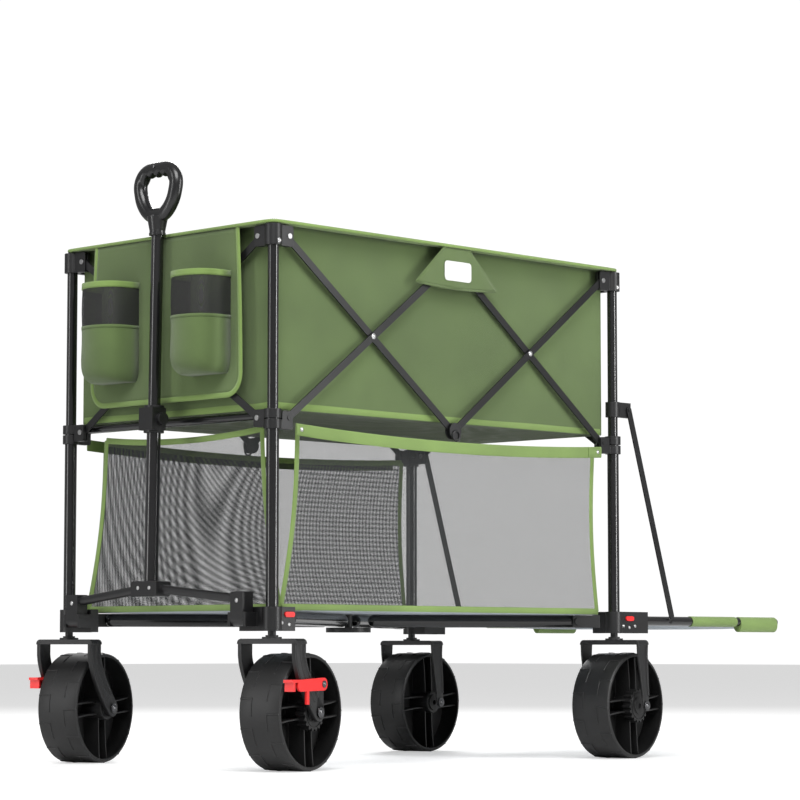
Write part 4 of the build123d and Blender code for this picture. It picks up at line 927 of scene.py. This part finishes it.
# %% Ribs, hub and brake ring
HUB_R, HUB_HALF = 22 * MM, 49 * MM
RING_R, RING_TEETH = 32 * MM, 18


def join(bm, part):
    """Adds one bmesh to another."""
    carrier = bpy.data.meshes.new("carrier")
    part.to_mesh(carrier)
    part.free()
    bm.from_mesh(carrier)
    bpy.data.meshes.remove(carrier)


def wheel_body(bm):
    web_r, web_half = WHEEL_R - 7 * MM, 2.5 * MM
    web = [(8 * MM, -web_half), (web_r, -web_half), (web_r, web_half), (8 * MM, web_half)]
    spun(bm, web, 64)
    step = 3 * MM
    hub = [
        (5.2 * MM, -HUB_HALF), (HUB_R - 6 * MM, -HUB_HALF), (HUB_R - 6 * MM, -HUB_HALF + step),
        (HUB_R - 1 * MM, -HUB_HALF + step), (HUB_R, -HUB_HALF + 2 * step), (HUB_R, HUB_HALF - 2 * step),
        (HUB_R - 1 * MM, HUB_HALF - step), (HUB_R - 6 * MM, HUB_HALF - step),
        (HUB_R - 6 * MM, HUB_HALF), (5.2 * MM, HUB_HALF),
    ]
    spun(bm, hub, 48)
    start, reach = 15 * MM, WHEEL_R - 8 * MM
    for turn in range(4):
        for apart in (-11 * MM, 11 * MM):
            size = Matrix.Diagonal((reach - start, 2 * TYRE_HALF - 14 * MM, 2.6 * MM, 1))
            out = Matrix.Translation(((reach + start) / 2, 0, apart))
            rib = bmesh.new()
            bmesh.ops.create_cube(rib, size=1, matrix=out @ size)
            along = [e for e in rib.edges if abs(e.verts[0].co.x - e.verts[1].co.x) > 10 * MM]
            bmesh.ops.subdivide_edges(rib, edges=along, cuts=8)
            for vert in rib.verts:
                share = (vert.co.x - start) / (reach - start)
                vert.co.z += (7 * MM if apart > 0 else 4 * MM) * share * share
            quarter = Matrix.Rotation(turn * pi / 2, 3, "Y")
            bmesh.ops.rotate(rib, verts=rib.verts, cent=(0, 0, 0), matrix=quarter)
            join(bm, rib)


def toothed_ring(bm, outer_side):
    """A ring with square teeth between the tyre's face and the fork."""
    ring = bmesh.ops.create_circle(
        bm, cap_ends=True, segments=4 * RING_TEETH, radius=RING_R, matrix=Matrix.Rotation(pi / 2, 4, "X")
    )["verts"]
    for i, vert in enumerate(ring):
        if i % 4 in (0, 1):
            vert.co *= (RING_R - 4 * MM) / RING_R
        vert.co.y = outer_side * (TYRE_HALF - 12 * MM)
    disc = list({f for v in ring for f in v.link_faces})
    grown = bmesh.ops.extrude_face_region(bm, geom=disc)["geom"]
    verts = corners_of(grown)
    bmesh.ops.translate(bm, verts=verts, vec=(0, outer_side * 18 * MM, 0))
    low_r, high_r = HUB_R + 3 * MM, RING_R - 7 * MM
    collar = [(low_r, 5 * MM), (high_r, 5 * MM), (high_r, 7.4 * MM), (low_r, 7.4 * MM)]
    spun(bm, [(r, outer_side * (TYRE_HALF + y)) for r, y in collar], 48)


# %% [markdown]
# The casters stand turned a little at rest. Wheels and forks are therefore built round the axle first,
# and then set in its place with the axle's own directions.

# %% Set a wheel on each axle
def axle_place(joint_name):
    """The frame of an axle: its Y is the axle, its Z is up."""
    joint = joints[joint_name]
    across = Vector(joint["axis"]).normalized()
    forward = across.cross(Vector((0, 0, 1)))
    turn = Matrix((forward, across, Vector((0, 0, 1)))).transposed().to_4x4()
    return Matrix.Translation(joint["pos_m"]) @ turn


CORNERS = ("front_left", "front_right", "rear_left", "rear_right")
for corner in CORNERS:
    outer_side = -1 if "left" in corner else 1
    bm = bmesh.new()
    tyre(bm)
    wheel_body(bm)
    toothed_ring(bm, outer_side)
    bmesh.ops.transform(bm, matrix=axle_place(f"wheel_spin_{corner}"), verts=bm.verts)
    wheel = made(bm, f"moulded_wheel_{corner}", wheel_plastic, f"wheel_{corner}", 32)
    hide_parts(f"wheel_{corner}")
print("wheel faces", len(wheel.data.polygons))

# %% [markdown]
# ## The handle grip
# The grip is a closed loop of black plastic on a round neck. The bar the hand holds has four finger
# hollows on its lower side. A circle swept round the loop makes the body, thinner where a finger lies.

# %% The grip loop
grip_low, grip_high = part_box("handle_grip")
grip_mid = middle("handle_grip")
GRIP_R = 13 * MM
GRIP_HALF = ((grip_high.y - grip_low.y) / 2 + 0.5 * MM - GRIP_R, 54 * MM - GRIP_R)
GRIP_CORNER = 36 * MM
GRIP_TAPER = 0.36
LEAN = radians(0.9)
grip_centre = Vector((grip_mid.x + 0.2 * MM, MID_Y, grip_high.z - 54 * MM))
flat_loop = rounded_loop((-GRIP_HALF[0], -GRIP_HALF[1]), GRIP_HALF, GRIP_CORNER, 0, 12)
loop = []
for w, h, _ in flat_loop:
    narrowing = 1 - GRIP_TAPER * ((GRIP_HALF[1] - h) / (2 * GRIP_HALF[1])) ** 1.5
    loop.append(grip_centre + Vector((sin(LEAN) * h, w * narrowing, h)))
fine = []
for i, point in enumerate(loop):
    after = loop[(i + 1) % len(loop)]
    parts = max(1, int((after - point).length / (2.5 * MM)))
    fine += [point.lerp(after, k / parts) for k in range(parts)]
grip = bmesh.new()
band(grip, fine, (1, 0, 0), GRIP_R - 1 * MM, GRIP_R, True, 20)
FINGER = 18 * MM
for vert in grip.verts:
    y, z = vert.co.y - MID_Y, vert.co.z - grip_centre.z
    if z > 0 and abs(y) < 2 * FINGER:
        inner = max(0.0, GRIP_HALF[1] - z) / GRIP_R
        hollow = abs(sin(pi * y / FINGER)) * min(1.0, (2 * FINGER - abs(y)) / (6 * MM))
        vert.co.z += 7 * MM * min(1.0, inner) * (hollow - 0.45)
neck_low = grip_low.z
neck = Matrix.Translation((grip_centre.x - 1.1 * MM, MID_Y, neck_low + 17 * MM))
cylinder(grip, 12.5 * MM, 34 * MM, neck, 40, top=19 * MM)
for z, radius in ((neck_low + 2.4 * MM, 15 * MM), (neck_low + 6.4 * MM, 14.2 * MM)):
    cylinder(grip, radius, 4 * MM, Matrix.Translation((grip_centre.x - 1.2 * MM, MID_Y, z)), 40)
loop_grip = made(grip, "loop_grip", grip_plastic, "handle_upper", 40)
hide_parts("handle_grip")
print("grip", [round(v, 3) for v in grip_centre])

# %% [markdown]
# ## The caster forks
# Each fork is one moulding: a crown with round shoulders and two legs. The front legs run back to a wheel
# that trails behind its stem, and carry three raised lines. The rear legs stand nearly upright, taper
# towards the axle, and have a flange along each edge. A leg is its outline, extruded and bevelled.

# %% A fork leg and a whole fork
FORKS = {
    "front": {"inside": 51, "outside": 60, "half": (17, 16), "lines": (-0.8, 0, 0.8), "bend": 1.5},
    "rear": {"inside": 62, "outside": 66, "half": (19, 10), "lines": (-0.88, 0.88), "bend": 1.0},
}
CROWN_TOP, CROWN_THICK, RAISED = 125 * MM, 9 * MM, 1.5 * MM
WASHER_THICK = 1.6 * MM


def leg_path(stem_x, kind):
    """The middle line of a leg, from the crown down to the axle at 0, with its half width."""
    top, low = [half * MM for half in FORKS[kind]["half"]]
    path = []
    for t in steps(0, 1, 14):
        bent = (max(0.0, t - 0.22) / 0.78) ** FORKS[kind]["bend"]
        path.append((Vector((stem_x * (1 - bent), 0, (CROWN_TOP - 1 * MM) * (1 - t))), top + (low - top) * t))
    return path


def fork_leg(bm, path, y_inside, y_outside, lines):
    """One leg between two y planes, with its raised lines on the outer face."""
    left, right = [], []
    for i, (point, half) in enumerate(path):
        before, after = path[max(0, i - 1)][0], path[min(len(path) - 1, i + 1)][0]
        across = (after - before).normalized().cross(Vector((0, 1, 0)))
        left.append(point + across * half)
        right.append(point - across * half)
    end, half = path[-1]
    start_angle = (left[-1] - end).xz.angle_signed(Vector((1, 0)))
    lobe = []
    for t in steps(0, 1, 10)[1:-1]:
        angle = start_angle - pi * t
        lobe.append(end + Vector((cos(angle), 0, sin(angle))) * half)
    outline = left + lobe + right[::-1]
    face = bm.faces.new([bm.verts.new((p.x, y_inside, p.z)) for p in outline])
    grown = bmesh.ops.extrude_face_region(bm, geom=[face])["geom"]
    outer = corners_of(grown)
    bmesh.ops.translate(bm, verts=outer, vec=(0, y_outside - y_inside, 0))
    rim = [g for g in grown if isinstance(g, bmesh.types.BMEdge)]
    bmesh.ops.bevel(bm, geom=rim, offset=1.5 * MM, segments=2, profile=0.5, affect="EDGES", material=-1)
    for share in lines:
        line = []
        for i, (point, half) in enumerate(path[:-2]):
            before, after = path[max(0, i - 1)][0], path[i + 1][0]
            across = (after - before).normalized().cross(Vector((0, 1, 0)))
            line.append(point + across * half * share + Vector((0, y_outside, 0)))
        band(bm, line, (0, 1, 0), RAISED, 1.8 * MM, sides=8)


for corner in CORNERS:
    kind = corner.split("_")[0]
    outer_side = -1 if "left" in corner else 1
    at_axle = axle_place(f"wheel_spin_{corner}")
    stem_x = (at_axle.inverted() @ Vector(joints[f"caster_swivel_{corner}"]["pos_m"])).x
    inside, outside = FORKS[kind]["inside"] * MM, FORKS[kind]["outside"] * MM
    bm = bmesh.new()
    size = Matrix.Diagonal((2 * FORKS[kind]["half"][0] * MM, 2 * outside, CROWN_THICK, 1))
    crown = Matrix.Translation((stem_x, 0, CROWN_TOP - CROWN_THICK / 2)) @ size
    bmesh.ops.create_cube(bm, size=1, matrix=crown)
    shoulders = [
        e for e in bm.edges
        if abs(e.verts[0].co.x - e.verts[1].co.x) > MM and e.verts[0].co.z > CROWN_TOP - MM
    ]
    bmesh.ops.bevel(
        bm, geom=shoulders, offset=8 * MM, segments=6, profile=0.5, affect="EDGES", material=-1
    )
    path = leg_path(stem_x, kind)
    path[0] = (path[0][0] + Vector((0, 0, -3 * MM)), path[0][1])
    for side in (-1, 1):
        fork_leg(bm, path, side * inside, side * (outside - RAISED), FORKS[kind]["lines"])
    for z, radius, depth in ((1.5, 17, 3), (4.5, 11, 3), (8, 7, 26)):
        cylinder(bm, radius * MM, depth * MM, Matrix.Translation((stem_x, 0, CROWN_TOP + z * MM)))
    to_side = Matrix.Rotation(pi / 2, 4, "X")
    bolt = bmesh.new()
    spots = [(0, 0, side * (outside + 0.5 * MM), 9) for side in (-1, 1)]
    if kind == "front":
        pivot_x, pivot_z = 4 * MM, 48 * MM
        lug = [(Vector((pivot_x * t, 0, pivot_z * t)), (13 - 4 * t) * MM) for t in steps(1, 0, 6)]
        fork_leg(bm, lug, outer_side * inside, outer_side * (outside - RAISED), ())
        pin = Matrix.Translation((pivot_x, outer_side * (outside - 1 * MM), pivot_z)) @ to_side
        cylinder(bm, 9 * MM, WASHER_THICK, pin)
        spots.append((pivot_x, pivot_z, outer_side * (outside + 5 * MM), 6))
    for x, z, y, radius in spots:
        washer = Matrix.Translation((x, y, z)) @ to_side
        cylinder(bolt, radius * MM, WASHER_THICK, washer)
        lift = 0.8 * MM if y > 0 else -0.8 * MM
        dome = Matrix.Translation((x, y + lift, z)) @ Matrix.Diagonal((1, 0.55, 1, 1))
        bmesh.ops.create_uvsphere(bolt, u_segments=20, v_segments=12, radius=0.62 * radius * MM, matrix=dome)
    for part in (bm, bolt):
        bmesh.ops.transform(part, matrix=at_axle, verts=part.verts)
    fork = made(bm, f"moulded_fork_{corner}", fork_plastic, f"caster_{corner}", 40)
    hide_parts(f"caster_fork_{corner}")
    made(bolt, f"axle_bolts_{corner}", bolt_steel, f"caster_{corner}", merge=False)
print("fork faces", len(fork.data.polygons))

# %% [markdown]
# ## Small rivets and screws
# Domed rivets hold the brackets, and a larger one pins each pair of bars where they cross. Where a rivet
# sits is found by looking straight at the part until its surface is met, so it lies on the face exactly.

# %% Rivets on the faces of CAD parts
def rivet_on(bm, node, start, toward, radius):
    """A dome on the face of a node that a look from start towards a direction meets."""
    toward = Vector(toward).normalized()
    hit, spot, normal, _ = nodes[node].ray_cast(Vector(start), toward)
    if not hit:
        print("no face for a rivet on", node, [round(c, 3) for c in start])
        return
    turn = Vector((0, 0, 1)).rotation_difference(-toward).to_matrix().to_4x4()
    lower = Matrix.Translation(spot - toward * 0.2 * MM) @ turn
    flat = Matrix.Diagonal((1, 1, 0.55, 1))
    bmesh.ops.create_uvsphere(bm, u_segments=18, v_segments=10, radius=radius, matrix=lower @ flat)
    cylinder(bm, 1.35 * radius, 0.8 * MM, lower, 24, top=1.2 * radius)


FAR = 0.2
TOP_RIVET_Z = 0.905
CROSSING_Z, CROSSING_IN = 0.759, 241.5
for end, post_x, inward in (("front", FRONT_X, 1), ("rear", REAR_X, -1)):
    frame_body = f"{end}_frame"
    bracket_rivets, cross_rivets = bmesh.new(), bmesh.new()
    for post_y, side in SIDES.values():
        outside = post_y + side * FAR
        corner = f"{end}_{'left' if side < 0 else 'right'}"
        top_start = (post_x, outside, TOP_RIVET_Z)
        rivet_on(bracket_rivets, f"top_brackets_{end}", top_start, (0, -side, 0), 3.2 * MM)
        button = middle(f"release_button_{corner}")
        for along, below in ((-17, 14), (0, 17), (17, 14)):
            start = (button.x + along * MM, outside, button.z - below * MM)
            rivet_on(bracket_rivets, f"base_brackets_{end}", start, (0, -side, 0), 2.4 * MM)
        cross = (post_x + inward * CROSSING_IN * MM, outside, CROSSING_Z)
        outer_bars = min(
            ("low_bars", "top_bars"),
            key=lambda level: -side * (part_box(f"{level}_{end}")[1 if side > 0 else 0].y),
        )
        rivet_on(cross_rivets, f"{outer_bars}_{end}", cross, (0, -side, 0), 4 * MM)
    made(bracket_rivets, f"bracket_rivets_{end}", rivet_steel, frame_body, merge=False)
    bars = f"{outer_bars}_{end}"
    made(cross_rivets, f"crossing_rivets_{end}", rivet_steel, bars, merge=False)

yoke_rivets, grip_screws = bmesh.new(), bmesh.new()
yoke_low, yoke_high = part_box("handle_yoke")
ahead = yoke_low.x - FAR
for y, z in ((-15, yoke_high.z - 12 * MM), (15, yoke_high.z - 12 * MM)):
    rivet_on(yoke_rivets, "handle_yoke", (ahead, MID_Y + y * MM, z), (1, 0, 0), 2.6 * MM)
for y in (yoke_low.y + 16 * MM, yoke_high.y - 16 * MM):
    rivet_on(yoke_rivets, "handle_yoke", (ahead, y, yoke_low.z + 44 * MM), (1, 0, 0), 3 * MM)
made(yoke_rivets, "yoke_rivets", rivet_steel, "handle_yoke", merge=False)
for height in (grip_high.z - 9 * MM, grip_centre.z - GRIP_HALF[1] - 2 * MM, grip_low.z + 17 * MM):
    at = Matrix.Translation((grip_centre.x - GRIP_R + 1 * MM, MID_Y, height))
    low_head = at @ Matrix.Diagonal((0.4, 1, 1, 1))
    bmesh.ops.create_uvsphere(grip_screws, u_segments=14, v_segments=8, radius=2.8 * MM, matrix=low_head)
made(grip_screws, "grip_screws", bolt_steel, "handle_upper", merge=False)

# %% [markdown]
# ## The tailgate cloth
# The tailgate is a cloth pad held in its tube frame: sleeves wrap the side tubes and the end bar, and the
# pad has a grey-blue underside. A webbing loop at the end pulls it up.

# %% Tailgate pad, sleeves and pull loop
tail_low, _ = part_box("tailgate_panel")
tube_low, tube_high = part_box("tailgate_frame")
TUBE_R = 9 * MM
tube_z = (tube_low.z + tube_high.z) / 2
tail_pad = bmesh.new()
pad_end = tube_high.x - 2 * TUBE_R
for vert in grid(tail_pad, 40, 40):
    u, v = vert.co.x + 0.5, 2 * vert.co.y
    drop = 14 * MM * min(1.0, 3 * u) * (1 - v**6)
    ripple = 0.6 * MM * noise.noise(Vector((u * 5, v * 4, 11)))
    y = MID_Y + v * (RIGHT_Y - LEFT_Y - 2 * TUBE_R) / 2
    vert.co = Vector((tail_low.x + (pad_end - tail_low.x) * u, y, tube_z + 6 * MM - drop + ripple))
tail_under = bmesh.ops.extrude_face_region(tail_pad, geom=list(tail_pad.faces))["geom"]
for vert in corners_of(tail_under):
    vert.co.z -= 5 * MM
tail_cloth = made(tail_pad, "tailgate_pad", mat_cloth, "tailgate", 50)
tail_cloth.data.materials.append(olive_lying)
for face in tail_cloth.data.polygons:
    face.material_index = 1 if face.normal.z > 0.3 else 0
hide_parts("tailgate_panel")

sleeves = bmesh.new()
SLEEVE_R = TUBE_R + 1.2 * MM
SLEEVES = ((231, 374, 0), (386, 506, 5 * MM))
for post_y, _ in SIDES.values():
    for start, end, tall in SLEEVES:
        run = [(REAR_X + s * MM, post_y, tube_z - tall) for s in steps(start, end, 8)]
        band(sleeves, run, (0, 0, 1), SLEEVE_R + tall, SLEEVE_R, sides=20)
inner_y = (LEFT_Y + 24 * MM, RIGHT_Y - 24 * MM)
end_bar = [(tube_high.x - TUBE_R, y, tube_z) for y in steps(*inner_y, 12)]
band(sleeves, end_bar, (0, 0, 1), SLEEVE_R, SLEEVE_R, sides=20)
made(sleeves, "tailgate_sleeves", green_tape, "tailgate", 50)

pull = bmesh.new()
loop_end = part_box("tailgate_panel")[1].x
loop_start = tube_high.x - TUBE_R
pull_line = [(loop_start, MID_Y, tube_z + 10 * MM)]
for i in range(9):
    angle = pi / 2 - pi * i / 8
    pull_line.append((loop_end - 9 * MM + 8 * MM * cos(angle), MID_Y, tube_z + 7.6 * MM * sin(angle)))
pull_line.append((loop_start, MID_Y, tube_z - 10 * MM))
band(pull, pull_line, (0, 1, 0), 11.5 * MM, 1.1 * MM, sides=12)
made(pull, "tailgate_pull_loop", green_tape, "tailgate", 50)
print("tailgate pad", round(pad_end - tail_low.x, 3))

# %% [markdown]
# ## The setting
# The cart stands on a plain pale floor in soft light. A large light stands high in front of it. A tall
# narrow one at the right and one at the left are there for the long highlights on the black tubes, and one
# from behind lights the far edges. Floor and world are brighter to the camera than to the cart, so the
# background is pale without washing out the black.

# %% Floor and lights
floor = bmesh.new()
bmesh.ops.create_grid(floor, x_segments=1, y_segments=1, size=30)
floor_mesh = bpy.data.meshes.new("studio_floor")
floor.to_mesh(floor_mesh)
floor.free()
floor_object = bpy.data.objects.new("studio_floor", floor_mesh)
bpy.context.scene.collection.objects.link(floor_object)
floor_paint, floor_tree, floor_shader = new_material("pale_floor", 0.5)
floor_shader.inputs["Base Color"].default_value = (0.8, 0.8, 0.8, 1)
floor_shader.inputs["Emission Color"].default_value = (1, 1, 1, 1)
floor_seen = floor_tree.nodes.new("ShaderNodeLightPath")
glow = maths(floor_tree, "MULTIPLY", floor_seen.outputs["Is Camera Ray"], 0.4)
floor_tree.links.new(glow, floor_shader.inputs["Emission Strength"])
floor_mesh.materials.append(floor_paint)
floor_object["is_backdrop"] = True

world = bpy.data.worlds.new("pale_surroundings")
world.use_nodes = True
background = world.node_tree.nodes["Background"]
background.inputs["Color"].default_value = (1, 1, 1, 1)
seen = world.node_tree.nodes.new("ShaderNodeLightPath")
direct = maths(world.node_tree, "MULTIPLY", seen.outputs["Is Camera Ray"], 0.7)
world.node_tree.links.new(maths(world.node_tree, "ADD", direct, 0.34), background.inputs["Strength"])
bpy.context.scene.view_settings.view_transform = "Standard"
bpy.context.scene.world = world


def softbox(name, place, size, power):
    light = bpy.data.lights.new(name, "AREA")
    light.shape = "RECTANGLE"
    light.size, light.size_y = size
    light.energy = power
    lamp = bpy.data.objects.new(name, light)
    bpy.context.scene.collection.objects.link(lamp)
    lamp.location = place
    aim = Vector((MID_X, MID_Y, 0.55)) - Vector(place)
    lamp.rotation_euler = aim.to_track_quat("-Z", "Y").to_euler()


softbox("key_light", (-2.4, -2.2, 3.4), (2.4, 2.4), 150)
softbox("strip_light", (0.9, -3.0, 0.9), (0.3, 2.6), 60)
softbox("side_light", (-3.4, 0.9, 1.2), (0.5, 2.4), 22)
softbox("back_light", (2.4, 2.6, 2.8), (2.0, 1.4), 80)

# %% [markdown]
# The camera stands low and far off, with a long lens, so the posts stay nearly parallel.

# %% Camera
YAW, PITCH = radians(44.23), radians(4.97)
camera_data = bpy.data.cameras.new("camera")
camera_data.lens = 129.6
camera_data.sensor_width = 36
camera = bpy.data.objects.new("camera", camera_data)
bpy.context.scene.collection.objects.link(camera)
camera.location = (-4.056, -3.851, 0.205)
look = Vector((cos(YAW) * cos(PITCH), sin(YAW) * cos(PITCH), sin(PITCH)))
camera.rotation_euler = look.to_track_quat("-Z", "Y").to_euler()
camera_data.clip_end = 200
bpy.context.scene.camera = camera

# %% [markdown]
# The visual model has to stay the size of the CAD model, so both boxes are measured and compared, and the growth
# of each side is printed in millimetres.

visual_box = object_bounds()
size = {"cad": [list(corner) for corner in cad_box], "visual": [list(corner) for corner in visual_box]}
pairs = zip([*visual_box[0], *visual_box[1]], [*cad_box[0], *cad_box[1]])
growth = [round((v - c) * 1000, 1) for v, c in pairs]
print("visual box against CAD box, mm", growth)
